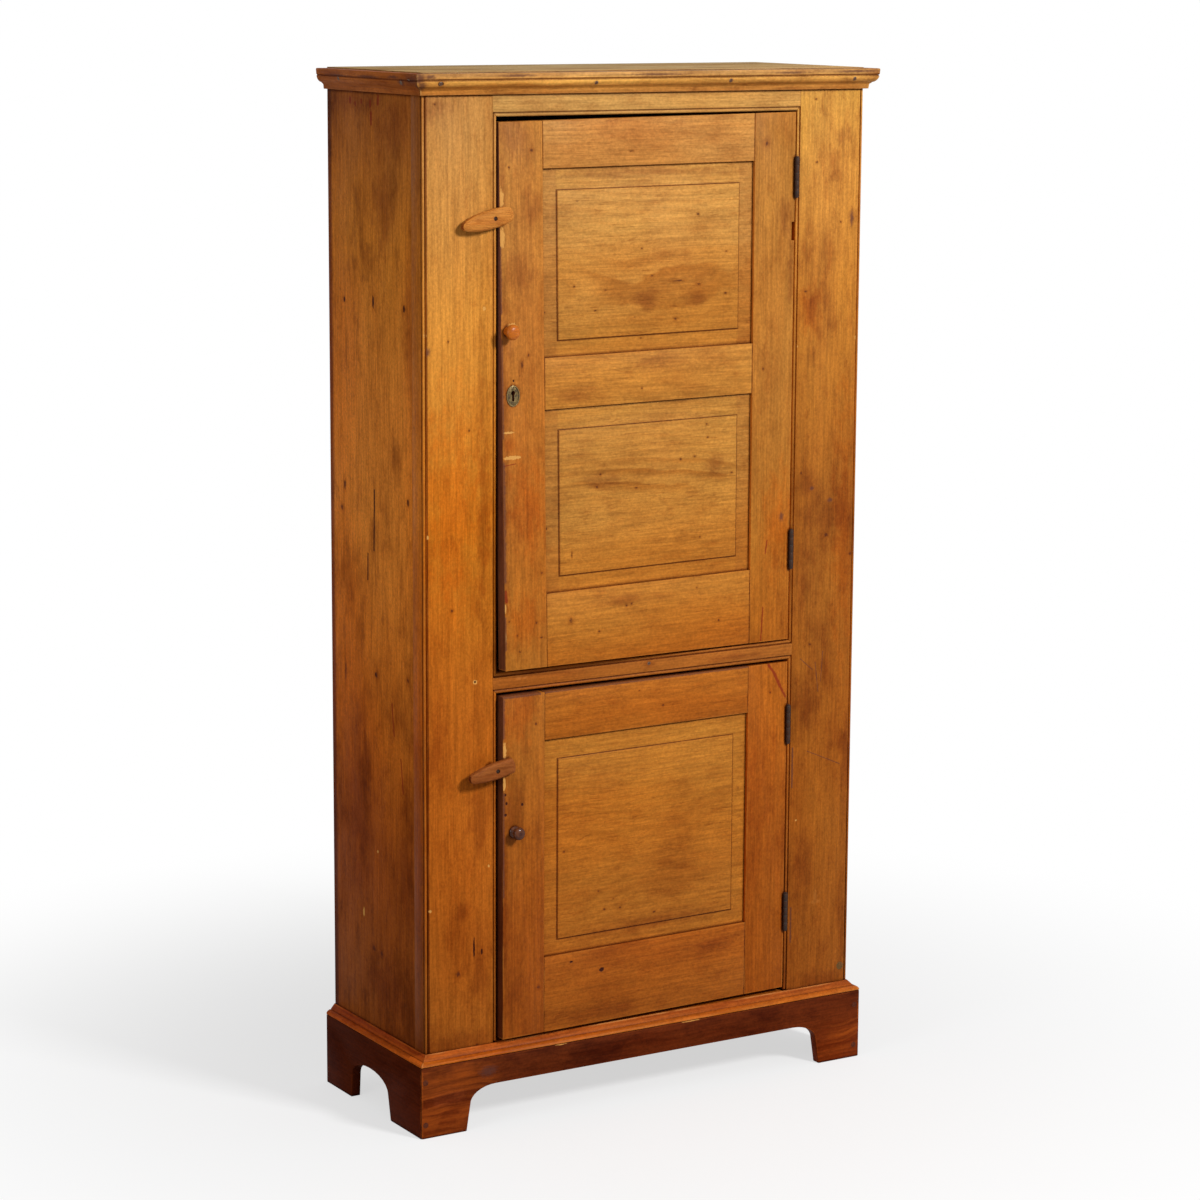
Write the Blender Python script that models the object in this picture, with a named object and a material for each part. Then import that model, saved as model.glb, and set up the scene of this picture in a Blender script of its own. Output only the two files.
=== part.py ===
"""A tall pine pantry cupboard with one upper and one lower panelled door.

Front faces -Y, the right-hand side is +X, the feet stand on Z = 0. Sizes are in metres.
"""

import math

import bmesh
import bpy
from mathutils import Matrix

# Overall sizes
cupboard_height = 2.0
carcase_width = 0.973
carcase_depth = 0.378
joint_gap = 0.0003
cut_past = 0.004

# Boards of the carcase
side_thickness = 0.022
shelf_thickness = 0.02
top_thickness = 0.02
back_thickness = 0.012
back_lap = 0.008
rabbet_width = 0.01
dado_depth = 0.006
side_tongue = 0.008
lower_shelf_rise = 0.342
upper_shelf_rise = 0.2584
upper_shelf_pitch = 0.26
bottom_board_drop = 0.001

# Face frame
frame_thickness = 0.042
opening_half = 0.3316
top_rail_height = 0.0611
middle_rail_top = 0.8816
middle_rail_height = 0.0392
bottom_rail_drop = 0.001
bead_radius = 0.0032
corner_bead_radius = 0.0025
quirk_width = 0.002
quirk_depth = 0.0025
frame_tenon_length = 0.04
frame_tenon_thickness = 0.012
frame_tenon_shoulder = 0.007

# Cornice, base and the moulding on the base
cornice_height = 0.039
cornice_drop = 0.002
cornice_overhang = 0.024
cornice_shares = [
    (0.31, 0),
    (0.35, 0.2),
    (0.38, 0.24),
    (0.47, 0.28),
    (0.52, 0.32),
    (0.66, 0.35),
    (0.79, 0.42),
    (0.88, 0.51),
    (0.94, 0.63),
    (0.88, 0.66),
    (0.88, 0.69),
    (0.95, 0.71),
    (0.98, 0.94),
    (0.96, 0.98),
    (0.91, 1),
]
base_thickness = 0.02
base_top = 0.14
moulding_height = 0.02
moulding_shares = [
    (0.97, 0),
    (1, 0.08),
    (0.97, 0.2),
    (0.87, 0.33),
    (0.7, 0.43),
    (0.57, 0.47),
    (0.53, 0.4),
    (0.48, 0.52),
    (0.3, 0.75),
    (0.1, 0.97),
    (0.07, 1),
]

# Arches of the base
front_foot_width = 0.0985
front_kink_inset = 0.0084
front_kink_height = 0.0525
front_arch_width = 0.0546
apron_height = 0.085
carcase_lift = 0.005
side_foot_depth = 0.126
side_kink_inset = 0.011
side_kink_height = 0.05
side_arch_half = 0.075
side_arch_height = 0.081
rear_foot_depth = 0.107

# Doors
door_thickness = 0.025
door_hinge_gap = 0.0023
door_latch_gap = 0.004
latch_stile_width = 0.092
hinge_stile_width = 0.0933
door_tenon_length = 0.055
door_tenon_thickness = 0.008
door_tenon_shoulder = 0.016
groove_front = 0.0068
groove_width = 0.0066
groove_depth = 0.008
panel_shrink = 0.001
panel_recess = 0.0036
panel_step = 0.0022
panel_step_run = 0.0008
panel_side_margin = 0.033
panel_top_margin = 0.041
panel_bottom_margin = 0.031

upper_door_top_gap = 0.002
upper_door_bottom_gap = 0.0019
upper_bottom_rail_height = 0.1475
upper_first_panel_height = 0.348
upper_lock_rail_height = 0.0963
upper_top_rail_height = 0.091
upper_top_drop = 0.004
upper_bottom_rise = 0.01
upper_door_sag = 0.004
upper_door_wind = 0.027
wind_step_up = 0.13
wind_step_across = 0.13
old_mortise_drop = 0.104
old_mortise_half = 0.018
old_mortise_width = 0.0062
old_mortise_depth = 0.01

lower_door_top_gap = 0.0044
lower_door_bottom_gap = 0.0083
lower_bottom_rail_height = 0.1487
lower_top_rail_height = 0.093
lower_door_ajar = math.radians(1.5)

# Butt hinges
upper_hinge_from_bottom = 0.181
upper_hinge_from_top = 0.1246
lower_hinge_from_bottom = 0.158
lower_hinge_from_top = 0.1264
hinge_length = 0.075
hinge_inset = 0.0011
knuckle_radius = 0.0045
knuckle_count = 5
pin_radius = 0.002
pin_head_radius = 0.0032
pin_head_thickness = 0.002
leaf_thickness = 0.002
leaf_half_gap = 0.00025
leaf_depth = 0.026
leaf_neck = 0.001

# Knobs
upper_knob_inset = 0.0126
upper_knob_below_top = 0.3866
upper_knob_radius = 0.0145
upper_knob_length = 0.028
upper_knob_shares = [
    (0.6, 0),
    (0.58, 0.1),
    (0.48, 0.26),
    (0.52, 0.4),
    (0.84, 0.54),
    (0.98, 0.66),
    (1, 0.76),
    (0.9, 0.88),
    (0.62, 0.97),
    (0.24, 1),
]
lower_knob_inset = 0.0246
lower_knob_below_top = 0.263
lower_knob_radius = 0.0125
lower_knob_length = 0.025
lower_knob_shares = [
    (0.88, 0),
    (0.92, 0.07),
    (0.8, 0.14),
    (0.58, 0.2),
    (0.5, 0.34),
    (0.66, 0.46),
    (0.94, 0.58),
    (1, 0.71),
    (0.9, 0.86),
    (0.6, 0.97),
    (0.22, 1),
]
knob_spigot_radius = 0.0048
knob_spigot_length = 0.02

# Keyhole plate and lock
keyhole_inset = 0.0231
keyhole_below_top = 0.5069
plate_half_width = 0.014
plate_half_height = 0.0195
plate_thickness = 0.0012
keyhole_radius = 0.0045
keyhole_slot_half = 0.0026
keyhole_rise = 0.0055
keyhole_drop = 0.01
key_pocket_depth = 0.006
case_width = 0.06
case_half_height = 0.05
case_thickness = 0.014
case_edge_inset = 0.0008
bolt_thickness = 0.006
bolt_half_height = 0.007
bolt_length = 0.038
bolt_rise = 0.026
bolt_wall = 0.004
bolt_travel = 0.011
keep_margin = 0.0025

# Turn buttons
button_thickness = 0.012
button_round = 0.003
button_boss_radius = 0.009
button_screw_radius = 0.0021
screw_head_radius = 0.0038
screw_head_thickness = 0.0024
screw_sink = 0.0045
screw_depth = 0.022
screw_slot_half = 0.0004
screw_slot_depth = 0.0008
upper_button_inset = 0.0139
upper_button_below_rail = 0.1836
upper_button_long = 0.067
upper_button_short = 0.04
upper_button_half = 0.0172
upper_button_stand = 0.0095
upper_button_tilt = math.radians(-12.8)
upper_button_shares = [
    (-1, 0.1),
    (-0.97, 0.34),
    (-0.86, 0.58),
    (-0.6, 0.85),
    (-0.25, 1),
    (0.2, 1),
    (0.65, 0.9),
    (0.88, 0.72),
    (0.98, 0.42),
    (1, 0.12),
]
lower_button_inset = 0.0144
lower_button_below_rail = 0.1419
lower_button_long = 0.058
lower_button_short = 0.0395
lower_button_half = 0.0157
lower_button_stand = 0.0195
lower_button_tilt = math.radians(-11.7)
lower_button_shares = [
    (-1, 0.16),
    (-0.97, 0.42),
    (-0.88, 0.6),
    (-0.5, 0.88),
    (-0.1, 1),
    (0.4, 0.99),
    (0.86, 0.9),
    (0.93, 0.8),
    (1, 0.25),
]

# Places that follow from the sizes
half_width = carcase_width / 2
stile_width = half_width - opening_half
frame_top = cupboard_height - top_thickness - joint_gap
top_rail_bottom = frame_top - top_rail_height
cornice_top = cupboard_height - cornice_drop
moulding_top = base_top + moulding_height
carcase_bottom = apron_height + carcase_lift
bottom_rail_top = moulding_top - bottom_rail_drop
bottom_board_top = bottom_rail_top - bottom_board_drop
middle_rail_bottom = middle_rail_top - middle_rail_height
bead_width = 2 * bead_radius + quirk_width
hinge_x = opening_half - hinge_inset
door_hinge_x = opening_half - door_hinge_gap
door_latch_x = door_latch_gap - opening_half
door_width = door_hinge_x - door_latch_x
upper_door_top = top_rail_bottom - upper_door_top_gap
upper_door_bottom = middle_rail_top + upper_door_bottom_gap
lower_door_top = middle_rail_bottom - lower_door_top_gap
lower_door_bottom = moulding_top + lower_door_bottom_gap
upper_hinge_heights = [
    upper_door_bottom + upper_hinge_from_bottom,
    upper_door_top - upper_hinge_from_top,
]
lower_hinge_heights = [
    lower_door_bottom + lower_hinge_from_bottom,
    lower_door_top - lower_hinge_from_top,
]
upper_knob_x = door_latch_x + upper_knob_inset
upper_knob_height = upper_door_top - upper_knob_below_top
lower_knob_x = door_latch_x + lower_knob_inset
lower_knob_height = lower_door_top - lower_knob_below_top
keyhole_x = door_latch_x + keyhole_inset
keyhole_height = upper_door_top - keyhole_below_top
upper_button_x = -opening_half - upper_button_inset
upper_button_height = top_rail_bottom - upper_button_below_rail
lower_button_x = -opening_half - lower_button_inset
lower_button_height = middle_rail_bottom - lower_button_below_rail
lower_door_reach = door_width * math.sin(lower_door_ajar)
overall_depth = carcase_depth + lower_door_reach + lower_knob_length
back_y = overall_depth / 2
face_y = back_y - carcase_depth
hinge_y = face_y - knuckle_radius - joint_gap
inside_y = face_y + frame_thickness + joint_gap
back_board_y = back_y - back_thickness
side_inner_x = half_width - side_thickness


def clear_scene():
    for thing in list(bpy.data.objects):
        bpy.data.objects.remove(thing)


def material(name, colour, roughness, metallic=0):
    made = bpy.data.materials.new(name)
    made.use_nodes = True
    shader = made.node_tree.nodes["Principled BSDF"]
    shader.inputs["Base Color"].default_value = (*colour, 1)
    shader.inputs["Roughness"].default_value = roughness
    shader.inputs["Metallic"].default_value = metallic
    made.diffuse_color = (*colour, 1)
    return made


def finish(piece, surface):
    """Gives the piece its material and smooth shading over gentle bends only."""
    piece.data.materials.clear()
    piece.data.materials.append(surface)
    piece.data.shade_smooth()
    piece.data.set_sharp_from_angle(angle=math.radians(32))


def loft(name, rings, surface):
    """A closed solid through rings of points, with a flat cap on the first and on the last."""
    shape = bmesh.new()
    rows = [[shape.verts.new(point) for point in ring] for ring in rings]
    count = len(rows[0])
    for low, high in zip(rows, rows[1:]):
        for i in range(count):
            j = (i + 1) % count
            shape.faces.new((low[i], low[j], high[j], high[i]))
    shape.faces.new(rows[0])
    shape.faces.new(rows[-1])
    bmesh.ops.recalc_face_normals(shape, faces=shape.faces)
    mesh = bpy.data.meshes.new(name)
    shape.to_mesh(mesh)
    shape.free()
    piece = bpy.data.objects.new(name, mesh)
    bpy.context.scene.collection.objects.link(piece)
    finish(piece, surface)
    return piece


def spot(axis, along, first, second):
    if axis == "x":
        return (along, first, second)
    if axis == "y":
        return (first, along, second)
    return (first, second, along)


def prism(name, axis, outline, start, end, surface):
    """An outline drawn across the axis and run along it; an end may be a function of the outline."""
    rings = []
    for stop in (start, end):
        if callable(stop):
            rings.append([spot(axis, stop(a, b), a, b) for a, b in outline])
        else:
            rings.append([spot(axis, stop, a, b) for a, b in outline])
    return loft(name, rings, surface)


def box(name, low, high, surface):
    outline = [(low[0], low[1]), (high[0], low[1]), (high[0], high[1]), (low[0], high[1])]
    return prism(name, "z", outline, low[2], high[2], surface)


def arc(centre_a, centre_b, radius_a, radius_b, start, end, steps):
    """Points on an arc of an ellipse, with the angles in degrees."""
    points = []
    for i in range(steps + 1):
        turn = math.radians(start + (end - start) * i / steps)
        points.append((centre_a + radius_a * math.cos(turn), centre_b + radius_b * math.sin(turn)))
    return points


def disc(centre_a, centre_b, radius, steps):
    return arc(centre_a, centre_b, radius, radius, 0, 360, steps)[:-1]


def rod(name, axis, centre_a, centre_b, radius, start, end, surface, steps=16):
    return prism(name, axis, disc(centre_a, centre_b, radius, steps), start, end, surface)


def shaped(piece, others, operation="DIFFERENCE"):
    """Cuts the others from the piece, or joins them to it, and removes them."""
    surface = piece.data.materials[0]
    for other in others:
        change = piece.modifiers.new(operation, "BOOLEAN")
        change.operation = operation
        change.solver = "EXACT"
        change.object = other
    bpy.context.view_layer.update()
    graph = bpy.context.evaluated_depsgraph_get()
    made = bpy.data.meshes.new_from_object(piece.evaluated_get(graph))
    piece.modifiers.clear()
    piece.data = made
    finish(piece, surface)
    for other in others:
        bpy.data.objects.remove(other)
    return piece


def hang(name, pieces, place, angle=0.0):
    """Gives moving pieces an empty on their joint, turned about Z by the angle at rest."""
    axis = bpy.data.objects.new(name, None)
    bpy.context.scene.collection.objects.link(axis)
    axis.location = place
    axis.rotation_euler = (0, 0, angle)
    for piece in pieces:
        piece.data.transform(Matrix.Translation([-value for value in place]))
        piece.parent = axis
    return axis


clear_scene()
pine = material("pine", (0.55, 0.25, 0.07), 0.4)
dark_pine = material("dark_pine", (0.22, 0.08, 0.03), 0.4)
inside_pine = material("inside_pine", (0.5, 0.33, 0.17), 0.6)
iron = material("iron", (0.12, 0.1, 0.09), 0.55, 1)
brown_wood = material("brown_wood", (0.3, 0.11, 0.05), 0.35)
glossy_brown = material("glossy_brown", (0.09, 0.035, 0.02), 0.15)


# Face frame
def stile_outline():
    """Points across a stile as (distance from the opening, distance behind the front)."""
    width = stile_width
    depth = frame_thickness
    bead = bead_radius
    points = [(0, depth)]
    points += arc(bead, bead, bead, bead, 180, 325, 7)
    points += [
        (2 * bead + 0.2 * quirk_width, quirk_depth),
        (2 * bead + 0.7 * quirk_width, quirk_depth),
        (2 * bead + quirk_width, 0),
    ]
    round_bead = corner_bead_radius
    edge = 2 * round_bead
    points += [
        (width - edge - quirk_width, 0),
        (width - edge - 0.7 * quirk_width, quirk_depth),
        (width - edge - 0.1 * quirk_width, quirk_depth),
    ]
    points += arc(width - round_bead, round_bead, round_bead, round_bead, 190, 440, 10)
    points += [
        (width - quirk_depth, edge + 0.1 * quirk_width),
        (width - quirk_depth, edge + 0.7 * quirk_width),
        (width, edge + quirk_width),
        (width, depth),
    ]
    groove_half = side_tongue / 2 + joint_gap
    middle = width - side_thickness / 2
    points += [
        (middle + groove_half, depth),
        (middle + groove_half, depth - side_tongue - joint_gap),
        (middle - groove_half, depth - side_tongue - joint_gap),
        (middle - groove_half, depth),
    ]
    return points


def rail_outline(bottom, top, beads):
    """Points across a rail as (Y, Z), with a bead on its lower or upper front edge."""
    round_bead = arc(bead_radius, bead_radius, bead_radius, bead_radius, 180, 325, 7)
    round_bead += [
        (2 * bead_radius + 0.2 * quirk_width, quirk_depth),
        (2 * bead_radius + 0.7 * quirk_width, quirk_depth),
        (bead_width, 0),
    ]
    points = [(face_y + frame_thickness, bottom)]
    if "lower" in beads:
        points += [(face_y + behind, bottom + up) for up, behind in round_bead]
    else:
        points += [(face_y, bottom)]
    if "upper" in beads:
        points += [(face_y + behind, top - down) for down, behind in reversed(round_bead)]
    else:
        points += [(face_y, top)]
    return points + [(face_y + frame_thickness, top)]


rails = {
    "top_rail": (top_rail_bottom, frame_top, ["lower"]),
    "middle_rail": (middle_rail_bottom, middle_rail_top, ["lower", "upper"]),
    "bottom_rail": (carcase_bottom, bottom_rail_top, []),
}
tenon_middle_y = face_y + frame_thickness / 2
bolt_height = keyhole_height + bolt_rise
bolt_middle = door_thickness + joint_gap + bolt_wall + bolt_thickness / 2


def wind_at(height):
    """How far the latch edge of the upper door stands out at this height."""
    fall = upper_door_top - height
    return upper_door_wind * fall / (upper_door_top - upper_door_bottom)


def frame_tenon(name, side, bottom, top, slack, surface):
    """A rail's tenon, or with slack the mortise that holds it."""
    inner = opening_half + bead_width - cut_past
    outer = opening_half + bead_width + frame_tenon_length + 2 * slack
    half = frame_tenon_thickness / 2 + slack
    ends = sorted((side * inner, side * outer))
    low = (ends[0], tenon_middle_y - half, bottom + frame_tenon_shoulder - slack)
    high = (ends[1], tenon_middle_y + half, top - frame_tenon_shoulder + slack)
    return box(name, low, high, surface)


def mitre(name, side, bottom, top, beads):
    """What a stile loses to a rail's end: a block with its beaded corners cut at 45 degrees."""
    near = opening_half - cut_past
    far = opening_half + bead_width
    outline = []
    if "lower" in beads:
        outline += [(near, bottom - cut_past), (far, bottom + bead_width)]
    else:
        outline += [(near, bottom - cut_past), (far, bottom - cut_past)]
    if "upper" in beads:
        outline += [(far, top - bead_width), (near, top + cut_past)]
    else:
        outline += [(far, top + cut_past), (near, top + cut_past)]
    outline = [(side * x, z) for x, z in outline]
    return prism(name, "y", outline, face_y - cut_past, face_y + frame_thickness + cut_past, pine)


def hinge_recess(name, height, x, direction):
    """The space for one leaf in the edge of a stile or a door."""
    deep = leaf_half_gap + leaf_thickness + joint_gap
    ends = sorted((x - direction * cut_past, hinge_x + direction * deep))
    half = hinge_length / 2 + joint_gap
    low = (ends[0], face_y - cut_past, height - half)
    high = (ends[1], face_y + leaf_depth + joint_gap, height + half)
    return box(name, low, high, pine)


def build_stile(name, side):
    outline = [(side * (opening_half + u), face_y + v) for u, v in stile_outline()]
    stile = prism(name, "z", outline, carcase_bottom, frame_top, pine)
    cuts = []
    for bottom, top, beads in rails.values():
        cuts.append(mitre("cut", side, bottom, top, beads))
        cuts.append(frame_tenon("cut", side, bottom, top, joint_gap, pine))
    if side > 0:
        for height in upper_hinge_heights + lower_hinge_heights:
            cuts.append(hinge_recess("cut", height, opening_half, 1))
    else:
        cuts += keep_cuts() + button_holes()
    return shaped(stile, cuts)


def keep_cuts():
    """The mortise that takes the thrown bolt, where the sagging door brings it."""
    middle = face_y + bolt_middle - wind_at(bolt_height)
    half = bolt_thickness / 2 + keep_margin
    height = bolt_height - upper_door_sag
    rise = bolt_half_height + keep_margin
    low = (-opening_half - bolt_travel, middle - half, height - rise)
    high = (cut_past - opening_half, middle + half, height + rise)
    return [box("cut", low, high, pine)]


def button_holes():
    holes = []
    for x, height in ((upper_button_x, upper_button_height), (lower_button_x, lower_button_height)):
        radius = button_screw_radius + joint_gap
        end = face_y + screw_depth + joint_gap
        holes.append(rod("cut", "y", x, height, radius, face_y - cut_past, end, pine, 12))
    return holes


def build_rail(name, bottom, top, beads):
    end = opening_half + bead_width - joint_gap
    rail = prism(name, "x", rail_outline(bottom, top, beads), -end, end, pine)
    corners = []
    for side in (-1, 1):
        for edge in beads:
            arris, rise = (bottom, 1) if edge == "lower" else (top, -1)
            near = opening_half - 2 * joint_gap - cut_past
            far = opening_half - 2 * joint_gap + bead_width + cut_past
            outline = [
                (side * near, arris - rise * cut_past),
                (side * far, arris + rise * (bead_width + cut_past)),
                (side * far, arris - rise * cut_past),
            ]
            front = face_y - cut_past
            corners.append(prism("cut", "y", outline, front, inside_y + cut_past, pine))
    if corners:
        shaped(rail, corners)
    tenons = [frame_tenon("tenon", side, bottom, top, 0, pine) for side in (-1, 1)]
    return shaped(rail, tenons, "UNION")


build_stile("stile_left", -1)
build_stile("stile_right", 1)
for rail_name, (rail_bottom, rail_top, rail_beads) in rails.items():
    build_rail(rail_name, rail_bottom, rail_top, rail_beads)


# Sides, shelves, top and back
board_tops = {
    "bottom_board": bottom_board_top,
    "lower_shelf": bottom_board_top + lower_shelf_rise,
    "middle_shelf": middle_rail_top,
    "upper_shelf_1": middle_rail_top + upper_shelf_rise,
    "upper_shelf_2": middle_rail_top + upper_shelf_rise + upper_shelf_pitch,
    "upper_shelf_3": middle_rail_top + upper_shelf_rise + 2 * upper_shelf_pitch,
}


def build_side(name, side):
    tongue_half = side_tongue / 2
    middle = half_width - side_thickness / 2
    rabbet_x = side_inner_x + rabbet_width
    rabbet_y = back_board_y - joint_gap
    outline = [
        (side_inner_x, inside_y),
        (middle - tongue_half, inside_y),
        (middle - tongue_half, inside_y - side_tongue),
        (middle + tongue_half, inside_y - side_tongue),
        (middle + tongue_half, inside_y),
        (half_width, inside_y),
        (half_width, back_y),
        (rabbet_x, back_y),
        (rabbet_x, rabbet_y),
        (side_inner_x, rabbet_y),
    ]
    outline = [(side * x, y) for x, y in outline]
    board = prism(name, "z", outline, carcase_bottom, frame_top, pine)
    dados = []
    for top in board_tops.values():
        ends = sorted((side * (side_inner_x - cut_past), side * (side_inner_x + dado_depth)))
        low = (ends[0], inside_y - side_tongue - cut_past, top - shelf_thickness - joint_gap)
        high = (ends[1], back_y + cut_past, top + joint_gap)
        dados.append(box("cut", low, high, pine))
    return shaped(board, dados)


def build_boards():
    shelf_end = side_inner_x + dado_depth - joint_gap
    for name, top in board_tops.items():
        low = (-shelf_end, inside_y, top - shelf_thickness)
        high = (shelf_end, back_board_y - joint_gap, top)
        box(name, low, high, inside_pine)
    low = (-half_width, face_y, cupboard_height - top_thickness)
    box("top_board", low, (half_width, back_y, cupboard_height), pine)


def build_back():
    """Three upright boards that lap each other along their edges."""
    edge = side_inner_x + rabbet_width - joint_gap
    seam = edge / 3
    half = back_thickness / 2
    inner = back_board_y
    middle_front = inner + half - joint_gap / 2
    middle_back = inner + half + joint_gap / 2
    lap = back_lap / 2
    slack = joint_gap / 2
    right = [
        (seam + lap + slack, inner),
        (edge, inner),
        (edge, back_y),
        (seam - lap + slack, back_y),
        (seam - lap + slack, middle_back),
        (seam + lap + slack, middle_back),
    ]
    centre = [
        (-seam - lap + slack, inner),
        (seam + lap - slack, inner),
        (seam + lap - slack, middle_front),
        (seam - lap - slack, middle_front),
        (seam - lap - slack, back_y),
        (lap - seam + slack, back_y),
        (lap - seam + slack, middle_front),
        (-seam - lap + slack, middle_front),
    ]
    left = [(-x, y) for x, y in right]
    for name, outline in (("back_board_1", left), ("back_board_2", centre), ("back_board_3", right)):
        prism(name, "z", outline, carcase_bottom, frame_top, inside_pine)


build_side("side_left", -1)
build_side("side_right", 1)
build_boards()
build_back()


# Cornice, base and its moulding
def mitred(name, side, profile, surface):
    """A run of moulding: side 0 goes across the front, -1 and 1 go back along the sides."""
    if side == 0:
        outline = [(face_y - out, z) for out, z in profile]

        def end_x(y, z):
            return half_width + face_y - y - joint_gap

        def start_x(y, z):
            return -end_x(y, z)

        return prism(name, "x", outline, start_x, end_x, surface)
    outline = [(side * (half_width + out), z) for out, z in profile]

    def front(x, z):
        return face_y - (abs(x) - half_width) + joint_gap

    return prism(name, "y", outline, front, back_y, surface)


def run_profile(shares, overhang, bottom, top):
    height = top - bottom
    points = [(joint_gap, bottom)]
    points += [(overhang * out, bottom + height * up) for out, up in shares]
    return points + [(joint_gap, top)]


def base_outline_front():
    """The front of the base in the XZ plane, with the shaped space between its feet."""
    far = half_width + base_thickness
    rise = apron_height - front_kink_height
    foot = far - front_foot_width
    centre = foot - front_kink_inset - front_arch_width
    right = [(far, base_top), (far, 0), (foot, 0)]
    right += arc(centre, front_kink_height, front_arch_width, rise, 0, 90, 8)
    return right + [(-x, z) for x, z in reversed(right)]


def base_outline_side():
    """A side of the base in the YZ plane."""
    front = face_y - base_thickness
    kink = front + side_foot_depth + side_kink_inset
    rise = side_arch_height - side_kink_height
    points = [(front, base_top), (front, 0), (front + side_foot_depth, 0)]
    points += arc(kink + side_arch_half, side_kink_height, side_arch_half, rise, 180, 0, 12)
    return points + [(back_y - rear_foot_depth, 0), (back_y, 0), (back_y, base_top)]


def build_base():
    far = half_width + base_thickness
    front_y = face_y - base_thickness
    rings = []
    for y, inset in ((front_y, joint_gap), (face_y - joint_gap, base_thickness)):
        ring = []
        for x, z in base_outline_front():
            at_end = abs(x) > far - cut_past
            ring.append((x - math.copysign(inset, x) if at_end else x, y, z))
        rings.append(ring)
    loft("base_front", rings, dark_pine)
    for name, side in (("base_left", -1), ("base_right", 1)):
        rings = []
        for x, inset in ((far, joint_gap), (half_width + joint_gap, base_thickness)):
            ring = []
            for y, z in base_outline_side():
                at_front = y < front_y + cut_past
                ring.append((side * x, y + inset if at_front else y, z))
            rings.append(ring)
        loft(name, rings, dark_pine)


cornice_profile = run_profile(
    cornice_shares, cornice_overhang, cornice_top - cornice_height, cornice_top
)
moulding_profile = run_profile(
    moulding_shares, base_thickness, base_top + joint_gap, moulding_top
)
for end_name, end_side in (("front", 0), ("left", -1), ("right", 1)):
    mitred("cornice_" + end_name, end_side, cornice_profile, pine)
    mitred("base_moulding_" + end_name, end_side, moulding_profile, dark_pine)
build_base()


# Doors
def framed_door(prefix, bottom, top, openings, bottom_rise, top_drop):
    """Stiles, rails and panels of a door as it stands shut and flat; returns them by name."""

    def bottom_at(x):
        return bottom + bottom_rise * (door_hinge_x - x) / door_width

    def top_at(x):
        return top - top_drop * (door_hinge_x - x) / door_width

    inner_latch = door_latch_x + latch_stile_width
    inner_hinge = door_hinge_x - hinge_stile_width
    door_back = face_y + door_thickness
    middle = face_y + groove_front + groove_width / 2
    pieces = {}

    def tenons(side_x, direction, slack):
        """The tenons of all rails into one stile, or with slack their mortises."""
        made = []
        edges = [bottom] + [edge for opening in openings for edge in opening] + [top]
        half = door_tenon_thickness / 2 + slack
        for low_edge, high_edge in zip(edges[::2], edges[1::2]):
            ends = sorted(
                (
                    side_x - direction * cut_past,
                    side_x + direction * (door_tenon_length + 2 * slack),
                )
            )
            low = (ends[0], middle - half, low_edge + door_tenon_shoulder - slack)
            high = (ends[1], middle + half, high_edge - door_tenon_shoulder + slack)
            made.append(box("tenon", low, high, pine))
        return made

    def grooves(low_x, high_x):
        """Cutters that widen every panel opening by the depth of the groove."""
        made = []
        for low_edge, high_edge in openings:
            low = (low_x, face_y + groove_front, low_edge - groove_depth)
            high = (high_x, face_y + groove_front + groove_width, high_edge + groove_depth)
            made.append(box("groove", low, high, pine))
        return made

    ends = {
        "latch_stile": (door_latch_x, inner_latch, inner_latch, -1),
        "hinge_stile": (inner_hinge, door_hinge_x, inner_hinge, 1),
    }
    for name, (low_x, high_x, joint_x, direction) in ends.items():
        outline = [
            (low_x, bottom_at(low_x)),
            (high_x, bottom_at(high_x)),
            (high_x, top_at(high_x)),
            (low_x, top_at(low_x)),
        ]
        stile = prism(prefix + name, "y", outline, face_y, door_back, pine)
        cuts = tenons(joint_x, direction, joint_gap)
        cuts += grooves(inner_latch - groove_depth, inner_hinge + groove_depth)
        pieces[name] = shaped(stile, cuts)

    low_x = inner_latch + joint_gap
    high_x = inner_hinge - joint_gap
    rail_names = ["bottom_rail", "top_rail"] if len(openings) == 1 else []
    rail_names = rail_names or ["bottom_rail", "lock_rail", "top_rail"]
    lows = [None] + [opening[1] for opening in openings]
    highs = [opening[0] for opening in openings] + [None]
    left_tenons = tenons(inner_latch, -1, 0)
    right_tenons = tenons(inner_hinge, 1, 0)
    for i, name in enumerate(rail_names):
        outline = [
            (low_x, bottom_at(low_x) if lows[i] is None else lows[i]),
            (high_x, bottom_at(high_x) if lows[i] is None else lows[i]),
            (high_x, top_at(high_x) if highs[i] is None else highs[i]),
            (low_x, top_at(low_x) if highs[i] is None else highs[i]),
        ]
        rail = prism(prefix + name, "y", outline, face_y, door_back, pine)
        shaped(rail, grooves(low_x - cut_past, high_x + cut_past))
        pieces[name] = shaped(rail, [left_tenons[i], right_tenons[i]], "UNION")

    for i, (low_edge, high_edge) in enumerate(openings):
        reach = groove_depth - panel_shrink
        tongue_back = groove_front + groove_width - joint_gap
        tongue_front = groove_front + joint_gap
        field = panel_recess + panel_step
        run = panel_step_run
        steps = [
            (-reach, -reach, -reach, tongue_back),
            (-reach, -reach, -reach, tongue_front),
            (0, 0, 0, tongue_front),
            (panel_side_margin, panel_bottom_margin, panel_top_margin, field),
            (panel_side_margin + run, panel_bottom_margin + run, panel_top_margin + run, panel_recess),
        ]
        rings = []
        for side, under, over, behind in steps:
            y = face_y + behind
            left, right = inner_latch + side, inner_hinge - side
            low, high = low_edge + under, high_edge - over
            rings.append([(left, y, low), (right, y, low), (right, y, high), (left, y, high)])
        name = f"panel_{i + 1}"
        pieces[name] = loft(prefix + name, rings, pine)
    return pieces


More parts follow.
